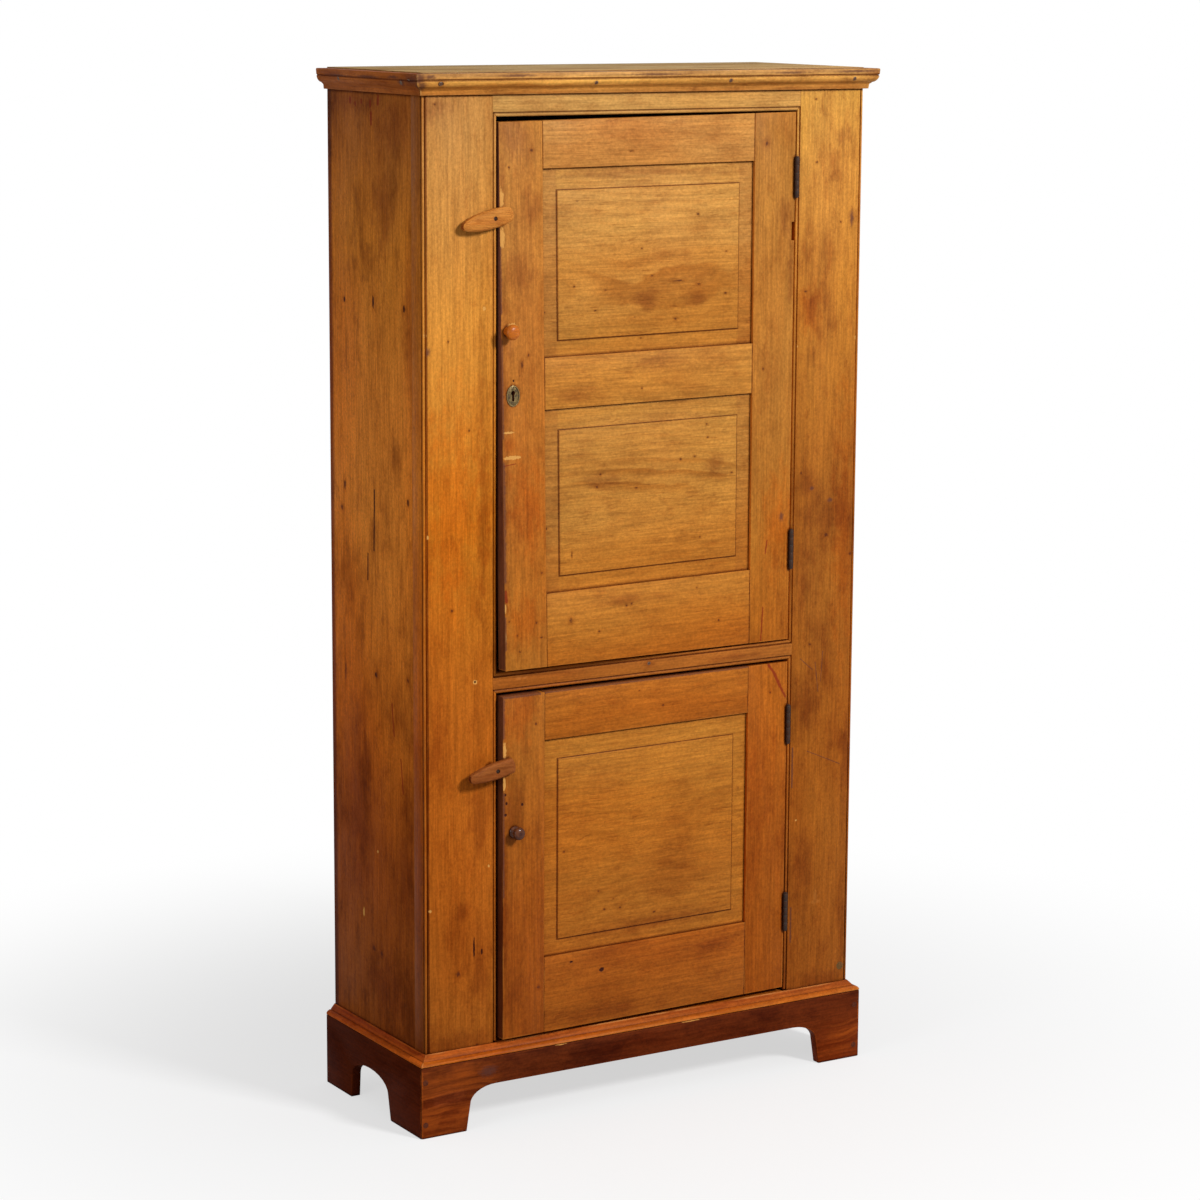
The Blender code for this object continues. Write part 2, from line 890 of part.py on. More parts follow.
def turned(name, rings, x, height, surface, steps=24):
    """A round piece on an axis along Y through (x, height), from pairs of radius and Y."""
    return loft(
        name,
        [[(a, y, b) for a, b in disc(x, height, radius, steps)] for radius, y in rings],
        surface,
    )


def build_knob(name, stile, x, height, radius, length, shares, surface):
    """A turned knob whose spigot sits in a hole in the latch stile."""
    hole_end = face_y + knob_spigot_length + joint_gap
    spigot = knob_spigot_radius + joint_gap
    shaped(stile, [rod("cut", "y", x, height, spigot, face_y - cut_past, hole_end, pine)])
    rings = [(knob_spigot_radius, face_y + knob_spigot_length)]
    rings += [(knob_spigot_radius, face_y - joint_gap)]
    rings += [(radius * out, face_y - joint_gap - length * along) for out, along in shares]
    return turned(name, rings, x, height, surface)


def leaf(name, height, side, surface):
    """One leaf of a butt hinge with its knuckles; side 1 is on the frame and -1 on the door."""
    near = hinge_x + side * leaf_half_gap
    far = near + side * leaf_thickness
    bottom = height - hinge_length / 2
    pitch = hinge_length / knuckle_count
    first = 0 if side > 0 else 1
    spans = []
    for i in range(first, knuckle_count, 2):
        low = bottom + pitch * i + (joint_gap / 2 if i else 0)
        high = bottom + pitch * (i + 1) - (joint_gap / 2 if i < knuckle_count - 1 else 0)
        spans.append((low, high))
    ends = sorted((near, far))
    corner = (ends[1], face_y + leaf_depth, bottom + hinge_length)
    plate = box(name, (ends[0], face_y, bottom), corner, surface)
    joins = []
    for low, high in spans:
        tab_low = (ends[0], hinge_y, low)
        joins.append(box("tab", tab_low, (ends[1], face_y + leaf_neck, high), surface))
        joins.append(rod("knuckle", "z", hinge_x, hinge_y, knuckle_radius, low, high, surface))
    shaped(plate, joins, "UNION")
    bore = pin_radius + joint_gap
    low, high = bottom - cut_past, bottom + hinge_length + cut_past
    return shaped(plate, [rod("bore", "z", hinge_x, hinge_y, bore, low, high, surface)])


def build_hinge(prefix, height, stile):
    """A frame leaf, a door leaf and a pin; returns the leaf that moves with the door."""
    shaped(stile, [hinge_recess("cut", height, door_hinge_x, -1)])
    leaf(prefix + "_frame_leaf", height, 1, iron)
    moving = leaf(prefix + "_door_leaf", height, -1, iron)
    half = hinge_length / 2 + joint_gap
    steps = [
        (pin_head_radius, -half - pin_head_thickness),
        (pin_head_radius, -half),
        (pin_radius, -half),
        (pin_radius, half),
        (pin_head_radius, half),
        (pin_head_radius, half + pin_head_thickness),
    ]
    rings = []
    for radius, rise in steps:
        rings.append([(a, b, height + rise) for a, b in disc(hinge_x, hinge_y, radius, 12)])
    loft(prefix + "_pin", rings, iron)
    return moving


def keyhole_cut(start, end):
    """A cutter in the shape of a keyhole."""
    middle = keyhole_height + keyhole_rise
    slope = math.degrees(math.asin(keyhole_slot_half / keyhole_radius))
    outline = arc(keyhole_x, middle, keyhole_radius, keyhole_radius, slope - 90, 270 - slope, 12)
    foot = keyhole_height - keyhole_drop
    outline += [(keyhole_x - keyhole_slot_half, foot), (keyhole_x + keyhole_slot_half, foot)]
    return prism("keyhole", "y", outline, start, end, iron)


def build_lock(stile):
    """Keyhole plate, lock case and bolt on the latch stile of the upper door."""
    door_back = face_y + door_thickness
    pocket_end = door_back + joint_gap + key_pocket_depth
    shaped(stile, [keyhole_cut(face_y - cut_past, pocket_end)])
    oval = arc(keyhole_x, keyhole_height, plate_half_width, plate_half_height, 0, 360, 28)[:-1]
    front = face_y - joint_gap - plate_thickness
    plate = prism("keyhole_plate", "y", oval, front, face_y - joint_gap, iron)
    shaped(plate, [keyhole_cut(front - cut_past, face_y + cut_past)])
    case_edge = door_latch_x + case_edge_inset
    case_front = door_back + joint_gap
    low = (case_edge, case_front, keyhole_height - case_half_height)
    high = (case_edge + case_width, case_front + case_thickness, keyhole_height + case_half_height)
    case = box("lock_case", low, high, iron)
    bolt_front = case_front + bolt_wall
    bolt_low = (case_edge, bolt_front, bolt_height - bolt_half_height)
    bolt_high = (
        case_edge + bolt_length,
        bolt_front + bolt_thickness,
        bolt_height + bolt_half_height,
    )
    low = (case_edge - cut_past, bolt_low[1] - joint_gap, bolt_low[2] - joint_gap)
    high = (bolt_high[0] + joint_gap, bolt_high[1] + joint_gap, bolt_high[2] + joint_gap)
    shaped(case, [box("channel", low, high, iron), keyhole_cut(face_y, pocket_end)])
    bolt = box("lock_bolt", bolt_low, bolt_high, iron)
    return plate, case, bolt


def wind(piece):
    """Twists a piece of the upper door about its hinges and lets its latch side sag."""
    shape = bmesh.new()
    shape.from_mesh(piece.data)
    corners = [vert.co for vert in shape.verts]
    for axis, step in ((2, wind_step_up), (0, wind_step_across)):
        low = min(corner[axis] for corner in corners)
        high = max(corner[axis] for corner in corners)
        normal = [0, 0, 0]
        normal[axis] = 1
        for i in range(1, math.ceil((high - low) / step)):
            place = [0, 0, 0]
            place[axis] = low + (high - low) * i / math.ceil((high - low) / step)
            parts = shape.verts[:] + shape.edges[:] + shape.faces[:]
            bmesh.ops.bisect_plane(shape, geom=parts, plane_co=place, plane_no=normal)
    bmesh.ops.triangulate(shape, faces=shape.faces)
    for vert in shape.verts:
        across = (door_hinge_x - vert.co.x) / door_width
        turn = Matrix.Rotation(math.asin(wind_at(vert.co.z) / door_width), 3, "Z")
        arm = vert.co.copy()
        arm.x -= hinge_x
        arm.y -= hinge_y
        arm = turn @ arm
        vert.co.x = hinge_x + arm.x
        vert.co.y = hinge_y + arm.y
        vert.co.z -= upper_door_sag * across
    shape.to_mesh(piece.data)
    shape.free()
    finish(piece, piece.data.materials[0])


first_panel_bottom = upper_door_bottom + upper_bottom_rail_height
first_panel_top = first_panel_bottom + upper_first_panel_height
upper_panel_openings = [
    (first_panel_bottom, first_panel_top),
    (first_panel_top + upper_lock_rail_height, upper_door_top - upper_top_rail_height),
]
lower_panel_openings = [
    (lower_door_bottom + lower_bottom_rail_height, lower_door_top - lower_top_rail_height)
]
upper_pieces = framed_door(
    "upper_door_",
    upper_door_bottom,
    upper_door_top,
    upper_panel_openings,
    upper_bottom_rise,
    upper_top_drop,
)
# The empty mortise of an older hinge, below the upper one
old_height = upper_hinge_heights[1] - old_mortise_drop
old_low = (door_hinge_x - old_mortise_width, face_y - cut_past, old_height - old_mortise_half)
old_high = (door_hinge_x + cut_past, face_y + old_mortise_depth, old_height + old_mortise_half)
shaped(upper_pieces["hinge_stile"], [box("cut", old_low, old_high, pine)])
upper_moving = list(upper_pieces.values())
for number, hinge_height in enumerate(upper_hinge_heights):
    hinge_name = f"upper_hinge_{number + 1}"
    upper_moving.append(build_hinge(hinge_name, hinge_height, upper_pieces["hinge_stile"]))
upper_moving.append(
    build_knob(
        "upper_knob",
        upper_pieces["latch_stile"],
        upper_knob_x,
        upper_knob_height,
        upper_knob_radius,
        upper_knob_length,
        upper_knob_shares,
        brown_wood,
    )
)
plate_piece, case_piece, bolt_piece = build_lock(upper_pieces["latch_stile"])
upper_moving += [plate_piece, case_piece, bolt_piece]
for moving_piece in upper_moving:
    wind(moving_piece)
upper_axis_place = (hinge_x, hinge_y, upper_door_bottom)
hang("upper_door_axis", upper_moving, upper_axis_place)

lower_pieces = framed_door(
    "lower_door_", lower_door_bottom, lower_door_top, lower_panel_openings, 0, 0
)
lower_moving = list(lower_pieces.values())
for number, hinge_height in enumerate(lower_hinge_heights):
    hinge_name = f"lower_hinge_{number + 1}"
    lower_moving.append(build_hinge(hinge_name, hinge_height, lower_pieces["hinge_stile"]))
lower_moving.append(
    build_knob(
        "lower_knob",
        lower_pieces["latch_stile"],
        lower_knob_x,
        lower_knob_height,
        lower_knob_radius,
        lower_knob_length,
        lower_knob_shares,
        glossy_brown,
    )
)
lower_axis_place = (hinge_x, hinge_y, lower_door_bottom)
hang("lower_door_axis", lower_moving, lower_axis_place, lower_door_ajar)


# Turn buttons
def build_button(name, x, height, long_arm, short_arm, half, stand, tilt, shares):
    """A wooden button on a screw, with a boss that holds it clear of the door."""
    upper_edge = [(along * (long_arm if along < 0 else short_arm), half * up) for along, up in shares]
    outline = upper_edge + [(along, -up) for along, up in reversed(upper_edge)]
    back = face_y - stand
    front = back - button_thickness
    rounded = 1 - button_round / half
    rings = []
    for y, scale in ((back, 1), (front + button_round, 1), (front, rounded)):
        ring = []
        for a, b in outline:
            turned_a = scale * (a * math.cos(tilt) + b * math.sin(tilt))
            turned_b = scale * (b * math.cos(tilt) - a * math.sin(tilt))
            ring.append((x + turned_a, y, height + turned_b))
        rings.append(ring)
    button = loft(name, rings, brown_wood)
    boss_end = face_y - joint_gap
    inside = back - button_thickness / 2
    boss = rod("boss", "y", x, height, button_boss_radius, inside, boss_end, brown_wood)
    shaped(button, [boss], "UNION")
    bore = button_screw_radius + joint_gap
    sink_radius = screw_head_radius + joint_gap
    sink_end = front + screw_sink
    bores = [
        rod("bore", "y", x, height, bore, front - cut_past, face_y + cut_past, brown_wood, 12),
        rod("sink", "y", x, height, sink_radius, front - cut_past, sink_end, brown_wood),
    ]
    shaped(button, bores)
    seat = sink_end - joint_gap
    rings = [
        (button_screw_radius, face_y + screw_depth),
        (button_screw_radius, seat),
        (screw_head_radius, seat),
        (screw_head_radius, seat - screw_head_thickness),
    ]
    screw = turned(name + "_screw", rings, x, height, iron, 12)
    slot_low = (
        x - screw_slot_half,
        seat - screw_head_thickness - cut_past,
        height - screw_head_radius - cut_past,
    )
    slot_high = (
        x + screw_slot_half,
        seat - screw_head_thickness + screw_slot_depth,
        height + screw_head_radius + cut_past,
    )
    shaped(screw, [box("slot", slot_low, slot_high, iron)])
    hang(name + "_axis", [button], (x, face_y, height))


build_button(
    "upper_button",
    upper_button_x,
    upper_button_height,
    upper_button_long,
    upper_button_short,
    upper_button_half,
    upper_button_stand,
    upper_button_tilt,
    upper_button_shares,
)
build_button(
    "lower_button",
    lower_button_x,
    lower_button_height,
    lower_button_long,
    lower_button_short,
    lower_button_half,
    lower_button_stand,
    lower_button_tilt,
    lower_button_shares,
)
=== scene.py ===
"""The look of a tall pine pantry cupboard: finishes, small fittings, light, floor and camera.

Metres, +X right, -Y front, +Z up. Every wooden piece gets its own procedural finish, made by one
function from the direction of its grain, its tone at each height and the marks seen on it.
"""

import math

import bmesh
import bpy
from mathutils import Matrix, Vector
from mathutils.bvhtree import BVHTree


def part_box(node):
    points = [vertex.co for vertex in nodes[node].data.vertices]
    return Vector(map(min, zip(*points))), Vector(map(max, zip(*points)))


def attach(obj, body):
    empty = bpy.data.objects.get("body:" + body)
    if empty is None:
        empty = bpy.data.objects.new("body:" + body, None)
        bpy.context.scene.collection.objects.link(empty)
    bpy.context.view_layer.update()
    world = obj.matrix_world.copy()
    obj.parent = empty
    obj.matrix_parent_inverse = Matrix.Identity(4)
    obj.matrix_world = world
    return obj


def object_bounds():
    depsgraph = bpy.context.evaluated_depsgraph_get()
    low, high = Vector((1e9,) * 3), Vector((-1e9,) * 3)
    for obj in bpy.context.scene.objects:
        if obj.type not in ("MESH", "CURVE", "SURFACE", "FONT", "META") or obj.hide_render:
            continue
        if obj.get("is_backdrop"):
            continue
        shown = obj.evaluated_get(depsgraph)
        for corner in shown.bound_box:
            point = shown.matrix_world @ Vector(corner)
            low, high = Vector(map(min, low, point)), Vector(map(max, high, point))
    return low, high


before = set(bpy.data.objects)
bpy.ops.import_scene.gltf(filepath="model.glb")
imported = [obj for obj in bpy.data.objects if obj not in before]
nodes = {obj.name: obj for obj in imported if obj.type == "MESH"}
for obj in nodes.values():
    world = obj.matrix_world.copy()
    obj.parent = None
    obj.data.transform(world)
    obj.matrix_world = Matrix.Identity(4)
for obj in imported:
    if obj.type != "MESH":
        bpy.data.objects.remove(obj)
cad_low, cad_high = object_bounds()
cupboard_height = cad_high[2]

# Camera, solved from the photograph
camera_place = Vector((-3.4131, -5.6265, 2.1864))
camera_azimuth = math.radians(31.214)
camera_pitch = math.radians(10.518)
camera_roll = math.radians(0.327)
camera_lens = 102.13
camera_sensor = 36

# Light
sky_strength = 0.38
key_place = Vector((1.7, -4.9, 4.1))
key_aim = Vector((0, 0, 1))
key_size = 1.1
key_power = 305
fill_place = Vector((-3.3, -1.1, 1.5))
fill_aim = Vector((-0.4, 0, 1.1))
fill_size = 1.3
fill_power = 20

# Floor
floor_radius = 9
floor_sides = 64
floor_colour = (0.88, 0.88, 0.88, 1)
floor_grit = (0.8, 0.8, 0.8, 1)
floor_bounce = (0.3, 0.29, 0.28, 1)
floor_glow = 0.62
floor_fade_start = 0.6
floor_fade_end = 2.0

# Rounding of edges
bevel_steps = 2
bevel_from = math.radians(35)
flat_within = math.radians(0.3)
smooth_below = math.radians(40)
weld_distance = 0.00001
plain_round = 0.0007
round_widths = {
    "cornice": 0.0016,
    "base_": 0.0016,
    "door": 0.001,
    "button": 0.0008,
    "hinge": 0.0003,
    "screw": 0.0002,
    "lock_": 0.0003,
    "plate": 0.0002,
}

# Wear, dirt and painted shade: how far from an edge or a corner they reach, and how deep a surface's relief
# is
edge_wear_reach = 0.0035
corner_dirt_and_shade_reach = 0.006
iron_wear_reach = 0.0012
iron_dirt_reach = 0.003
# The lock case darkens far into its enclosure: painted shade
lock_shade_reach = 0.03
lacquer_dirt_reach = 0.004
plug_dirt_reach = 0.0025
wood_relief = 0.0003
iron_relief = 0.0002
plug_relief = 0.0002
lacquer_relief = 0.0001

# Growth rings: where their heart lies from a board's middle, and how far they and streaks wander
pith_aside = 0.02
pith_behind = 0.06
ring_drift = 0.12
ring_sway = 0.09
ring_ripple = 0.009
streak_bend = 0.05

# How far a board's tones wander up and down it, if it's a tall one
uneven_tone = 0.36
tall_board = 0.4

# Small dark dots, dirt in joints, the painted shadow lines round a panel's field, and the dull border outside
# it
dot_radius = 0.003
seam_half_width = 0.0019
thin_seam_half_width = 0.0011
field_half_width = 0.2035
border_width = 0.0335

# Sizes of the small fittings
head_sides = 16
nail_radius = 0.0036
nail_rise = 0.0007
nail_sink = 0.0006
back_nail_radius = 0.0028
back_nail_inset = 0.03
plug_radius = 0.0058
stile_plug_radius = 0.0085
plug_rise = 0.0003
leaf_screw_radius = 0.0028
leaf_screw_rise = 0.00015
leaf_screw_spread = 0.026
leaf_screw_shift = 0.004
case_screw_radius = 0.0035
case_screw_rise = 0.0009
case_screw_inset = 0.007
slot_half_share = 0.13
crown_share = 0.72
nail_head_shares = ((1, 1 / 3), (0.86, 0.8), (0.5, 1), (0.2, 0.9))
plug_head_shares = ((0.97, 0.5), (0.85, 1), (0.4, 0.7))
screw_edge_shares = ((1, 0.25), (0.9, 1 / 3))
cheek_shares = ((0.96, 0), (0.96, 0.7), (crown_share, 1))
cornice_nail_places = ((-0.459, 1.98), (-0.132, 1.978), (0.165, 1.979), (0.451, 1.979))
return_nail_places = ((-0.13, 1.981), (-0.161, 1.986), (0.12, 1.981))
rail_nail_places = ((0.006, 0.867),)
rail_nail_radius = 0.00324
base_plug_places = ((-0.497, 0.111), (-0.497, 0.027), (0.494, 0.111), (0.494, 0.026))
stile_plug_places = ((0.47, 0.192),)
plate_pin_radius = 0.0012
plate_pin_rise = 0.0006
plate_pin_inset = 0.0032
plate_rim_radius = 0.0006
plate_rim_inset = 0.001
plate_rim_sides = 8
plate_rim_steps = 48
cast_start = 0.05


class Graph:
    """A tree of shader nodes, added in short calls."""

    def __init__(self, tree):
        self.tree = tree

    def join(self, socket, value):
        """Links a socket to another, or sets its own value."""
        if isinstance(value, bpy.types.NodeSocket):
            self.tree.links.new(value, socket)
        else:
            socket.default_value = value

    def add(self, kind, values=(), **settings):
        """A node, with values for its sockets by name or by number."""
        made = self.tree.nodes.new(kind)
        for key, value in settings.items():
            setattr(made, key, value)
        for socket, value in dict(values).items():
            self.join(made.inputs[socket], value)
        return made

    def math(self, operation, *values):
        return self.add("ShaderNodeMath", enumerate(values), operation=operation).outputs["Value"]

    def vector(self, operation, *values):
        made = self.add("ShaderNodeVectorMath", enumerate(values), operation=operation)
        return made.outputs["Value" if operation in ("LENGTH", "DOT_PRODUCT") else "Vector"]

    def times(self, first, second):
        return self.math("MULTIPLY", first, second)

    def plus(self, first, second):
        return self.math("ADD", first, second)

    def times_plus(self, first, second, third):
        return self.math("MULTIPLY_ADD", first, second, third)

    def split(self, vector):
        return tuple(self.add("ShaderNodeSeparateXYZ", {"Vector": vector}).outputs)

    def combine(self, x, y, z=0.0):
        return self.add("ShaderNodeCombineXYZ", {"X": x, "Y": y, "Z": z}).outputs["Vector"]

    def noise(self, place, scales, detail=2.0, roughness=0.5):
        """Noise whose features per metre along each axis are the scales."""
        scaled = self.vector("MULTIPLY", place, scales)
        values = {"Vector": scaled, "Scale": 1, "Detail": detail, "Roughness": roughness}
        return self.add("ShaderNodeTexNoise", values).outputs["Fac"]

    def specks(self, place, scales, size, share):
        """Small spots, one in each cell of a loose grid, of which a share is kept."""
        scaled = self.vector("MULTIPLY", place, scales)
        cells = self.add("ShaderNodeTexVoronoi", {"Vector": scaled, "Scale": 1}).outputs
        kept = self.math("LESS_THAN", self.split(cells["Color"])[0], share)
        return self.times(kept, self.fade(cells["Distance"], size / 2, size, 1.0, 0.0))

    def fade(self, value, start, end, low=0.0, high=1.0):
        """low up to start, high from end on, and smooth between."""
        values = {"Value": value, "From Min": start, "From Max": end, "To Min": low, "To Max": high}
        return self.add("ShaderNodeMapRange", values, interpolation_type="SMOOTHSTEP").outputs["Result"]

    def mix(self, factor, first, second, blend="MIX"):
        values = {0: factor, 6: first, 7: second}
        return self.add("ShaderNodeMix", values, data_type="RGBA", blend_type=blend).outputs[2]

    def tint(self, amount, colour, by):
        """The colour, multiplied by another where amount is 1."""
        return self.mix(amount, colour, by, "MULTIPLY")

    def ramp(self, value, stops):
        """A colour by height, from stops of (height, red, green, blue)."""
        made = self.add("ShaderNodeValToRGB", {"Fac": self.math("DIVIDE", value, cupboard_height)})
        elements = made.color_ramp.elements
        while len(elements) < len(stops):
            elements.new(0.5)
        for element, (height, *colour) in zip(elements, stops):
            element.position = height / cupboard_height
            element.color = rgb(*colour)
        return made.outputs["Color"]

    def hollow(self, distance, inside=False):
        """0 deep in a corner and 1 in the open. From inside the solid it finds outer edges."""
        values = {"Distance": distance}
        made = self.add("ShaderNodeAmbientOcclusion", values, samples=5, inside=inside, only_local=inside)
        return made.outputs["AO"]

    def looked_at(self):
        """1 for rays that the camera follows, straight or through a mirror or glass."""
        rays = self.add("ShaderNodeLightPath").outputs
        seen = self.math("MAXIMUM", rays["Is Camera Ray"], rays["Is Glossy Ray"])
        return self.math("MAXIMUM", seen, rays["Is Transmission Ray"])


class Surface(Graph):
    """One material's nodes, with a principled shader."""

    def __init__(self, name):
        self.material = bpy.data.materials.new(name)
        self.material.use_nodes = True
        super().__init__(self.material.node_tree)
        self.tree.nodes.clear()
        self.shader = self.add("ShaderNodeBsdfPrincipled")
        self.output = self.add("ShaderNodeOutputMaterial", {"Surface": self.shader.outputs["BSDF"]})
        coordinates = self.add("ShaderNodeTexCoord")
        self.place = coordinates.outputs["Object"]
        self.facing = coordinates.outputs["Normal"]

    def set(self, socket, value):
        self.join(self.shader.inputs[socket], value)

    def bump(self, height, distance):
        made = self.add("ShaderNodeBump", {"Height": height, "Distance": distance})
        self.set("Normal", made.outputs["Normal"])


def rgb(red, green, blue):
    return (red, green, blue, 1)


class Finish:
    """One kind of varnished wood. tones are (height, red, green, blue), from the floor up."""

    flank_tones = ()
    worn = (0.5, 0.17, 0.025)
    # Tint of faces turned sideways: partly the wood's own colour, partly painted light and shade
    flank_shading_and_tint = (0.8, 0.6, 0.5)
    streak = 0.25
    figure = 0.06
    cloud = 0.5
    dash = 0.3
    speck = 0.4
    spacing = 0.011
    scale = 1
    stain = (0.7, 0.58, 0.52)
    gloss = 0.06
    rough = 0.45

    def __init__(self, tones, **looks):
        self.tones = tones
        for look, value in looks.items():
            setattr(self, look, value)


# Tones by height partly stand for light: the fronts darken towards the floor, painted shade where the light
# falls off downwards
side_tones = [
    (0.2, 0.27, 0.062, 0.008), (0.5, 0.32, 0.072, 0.008), (0.75, 0.56, 0.14, 0.012),
    (1.2, 0.73, 0.22, 0.026), (1.45, 0.66, 0.195, 0.024), (1.7, 0.6, 0.19, 0.02), (1.9, 0.38, 0.112, 0.017),
]
left_stile = Finish([
    (0.1, 0.33, 0.09, 0.01), (0.5, 0.44, 0.117, 0.011), (0.8, 0.45, 0.125, 0.012), (1.2, 0.52, 0.16, 0.011),
    (1.62, 0.58, 0.22, 0.03), (1.95, 0.46, 0.2, 0.045),
], flank_tones=side_tones, flank_shading_and_tint=(0.78, 0.72, 0.55), cloud=0.6, gloss=0.025)
right_stile = Finish([
    (0.1, 0.32, 0.08, 0.008), (0.7, 0.35, 0.1, 0.01), (1.15, 0.325, 0.108, 0.014),
    (1.5, 0.46, 0.185, 0.027), (1.75, 0.55, 0.25, 0.047), (1.92, 0.575, 0.3, 0.058),
], flank_tones=side_tones, flank_shading_and_tint=(0.74, 0.66, 0.45), cloud=1, stain=(0.6, 0.46, 0.42))
latch_stile = Finish([
    (0.1, 0.32, 0.08, 0.008), (0.6, 0.34, 0.09, 0.008), (1.05, 0.42, 0.14, 0.017),
    (1.45, 0.44, 0.16, 0.027), (1.85, 0.46, 0.185, 0.034),
], flank_shading_and_tint=(0.36, 0.36, 1.2), cloud=0.85)
# Its flanks are tinted lighter: painted light on edges that the lamps leave in shade
hinge_stile = Finish([
    (0.1, 0.32, 0.08, 0.008), (0.6, 0.38, 0.1, 0.009), (1.05, 0.4, 0.14, 0.017), (1.45, 0.42, 0.16, 0.025),
    (1.85, 0.42, 0.16, 0.026),
], flank_shading_and_tint=(1.5, 1.3, 1.1), cloud=0.9)
rail = Finish([
    (0.2, 0.35, 0.09, 0.009), (0.8, 0.4, 0.108, 0.01), (1, 0.46, 0.155, 0.018), (1.42, 0.5, 0.21, 0.036),
    (1.87, 0.5, 0.2, 0.042), (1.95, 0.53, 0.264, 0.066),
], figure=0.12, dash=0.45, cloud=0.65, streak=0.13)
narrow_rail = Finish([(0, 0.3, 0.08, 0.01), (0.87, 0.37, 0.11, 0.015)], cloud=0.8)
panel = Finish([
    (0.35, 0.42, 0.13, 0.015), (0.6, 0.45, 0.15, 0.016), (1.1, 0.48, 0.19, 0.029), (1.5, 0.46, 0.19, 0.032),
    (1.7, 0.53, 0.235, 0.047),
], figure=0.2, dash=0.55, cloud=0.6, streak=0.11, spacing=0.013)
side_board = Finish(
    side_tones, worn=(0.5, 0.15, 0.03), cloud=0.85, streak=0.3, stain=(0.48, 0.4, 0.43),
    gloss=0.015, rough=0.55,
)
far_side = Finish([
    (0.2, 0.25, 0.06, 0.008), (0.7, 0.35, 0.095, 0.01), (1.2, 0.44, 0.145, 0.018),
    (1.7, 0.46, 0.165, 0.022), (1.9, 0.36, 0.12, 0.018),
], worn=(0.5, 0.15, 0.03), cloud=1, streak=0.35, stain=(0.5, 0.4, 0.42), gloss=0.015, rough=0.55)
base_face = Finish([
    (0, 0.235, 0.04, 0.005), (0.05, 0.185, 0.03, 0.0048), (0.09, 0.127, 0.022, 0.0042),
    (0.14, 0.11, 0.0195, 0.0042),
], worn=(0.42, 0.085, 0.009), flank_shading_and_tint=(1, 0.9, 0.9), cloud=1, streak=1, stain=(0.5, 0.4, 0.45),
    gloss=0.03, rough=0.5)
base_flank = Finish([
    (0, 0.1, 0.015, 0.004), (0.14, 0.066, 0.011, 0.003),
], worn=(0.26, 0.05, 0.007), flank_shading_and_tint=(1, 1, 1), cloud=0.8, gloss=0.005, rough=0.5)
moulding_face = Finish([
    (0.14, 0.5, 0.125, 0.01), (0.147, 0.48, 0.115, 0.009), (0.151, 0.31, 0.06, 0.008),
    (0.16, 0.4, 0.088, 0.01),
], worn=(0.66, 0.26, 0.07), flank_shading_and_tint=(1, 0.9, 0.9), cloud=1, streak=1, gloss=0.06)
moulding_flank = Finish([
    (0.14, 0.5, 0.1, 0.0085), (0.147, 0.48, 0.094, 0.0075), (0.151, 0.27, 0.042, 0.006),
    (0.16, 0.33, 0.054, 0.0075),
], worn=(0.5, 0.12, 0.015), flank_shading_and_tint=(1, 1, 1), cloud=1, streak=1, gloss=0.01)
cornice_face = Finish([
    (1.96, 0.44, 0.165, 0.032), (1.97, 0.59, 0.245, 0.045), (1.985, 0.72, 0.355, 0.074),
    (1.988, 0.2, 0.062, 0.013), (1.991, 0.48, 0.23, 0.066),
], worn=(0.64, 0.31, 0.08), cloud=1, streak=0.8, speck=0.8, stain=(0.5, 0.36, 0.32))
cornice_flank = Finish([
    (1.96, 0.37, 0.107, 0.021), (1.985, 0.38, 0.112, 0.021), (1.9875, 0.2, 0.055, 0.013),
    (1.99, 0.38, 0.11, 0.022),
], worn=(0.36, 0.12, 0.025), flank_shading_and_tint=(1, 1, 1), cloud=1, streak=0.6, gloss=0.02, rough=0.55)
dusty_top = Finish([
    (1.9, 0.55, 0.36, 0.15), (2, 0.57, 0.375, 0.165),
], worn=(0.66, 0.42, 0.16), cloud=1, streak=0.9, dash=0.5, gloss=0.01, rough=0.7)
bare_pine = Finish([
    (0, 0.45, 0.24, 0.085), (2, 0.52, 0.29, 0.11),
], worn=(0.56, 0.36, 0.18), flank_shading_and_tint=(1, 1, 1), figure=0.35, cloud=0.5, gloss=0.05, rough=0.68)
back_pine = Finish([
    (0, 0.24, 0.135, 0.06), (2, 0.33, 0.19, 0.085),
], worn=(0.36, 0.24, 0.13), flank_shading_and_tint=(1, 1, 1), figure=0.4, cloud=0.8, gloss=0.02, rough=0.75)
button_wood = Finish([
    (0.6, 0.24, 0.06, 0.013), (1.7, 0.56, 0.22, 0.042),
], worn=(0.2, 0.055, 0.012), flank_shading_and_tint=(0.5, 0.4, 0.4), cloud=0.7, streak=0.9, scale=3, gloss=0.05, rough=0.42)
knob_wood = Finish([
    (1.4, 0.5, 0.13, 0.01), (1.6, 0.5, 0.13, 0.01),
], worn=(0.55, 0.18, 0.02), flank_shading_and_tint=(1, 1, 1), speck=0.1, scale=3, gloss=0.15, rough=0.22)

pore_tint = rgb(0.6, 0.46, 0.34)
ring_tint = rgb(0.7, 0.56, 0.42)
warm_tint = rgb(1.01, 0.93, 0.82)
ochre_tint = rgb(1, 1.06, 1.15)
seam_tint = rgb(0.24, 0.13, 0.13)
inner_pine = rgb(0.4, 0.21, 0.08)
dirt_and_shade = rgb(0.04, 0.0085, 0.0045)
deep_stain = rgb(0.1, 0.035, 0.025)
knot_brown = rgb(0.07, 0.016, 0.008)
scratch_red = rgb(0.2, 0.014, 0.006)
bare_wood = rgb(0.66, 0.32, 0.078)
pale_streak = rgb(1.12, 1.12, 1.1)
pale_cloud = rgb(1.12, 1.16, 1.16)
pale_blotch = rgb(1.14, 1.15, 1.15)

# Which axes of the world run along, across and through a board, by the way its grain runs
axis_orders = {"X": (0, 2, 1), "Y": (1, 2, 0), "Z": (2, 0, 1)}

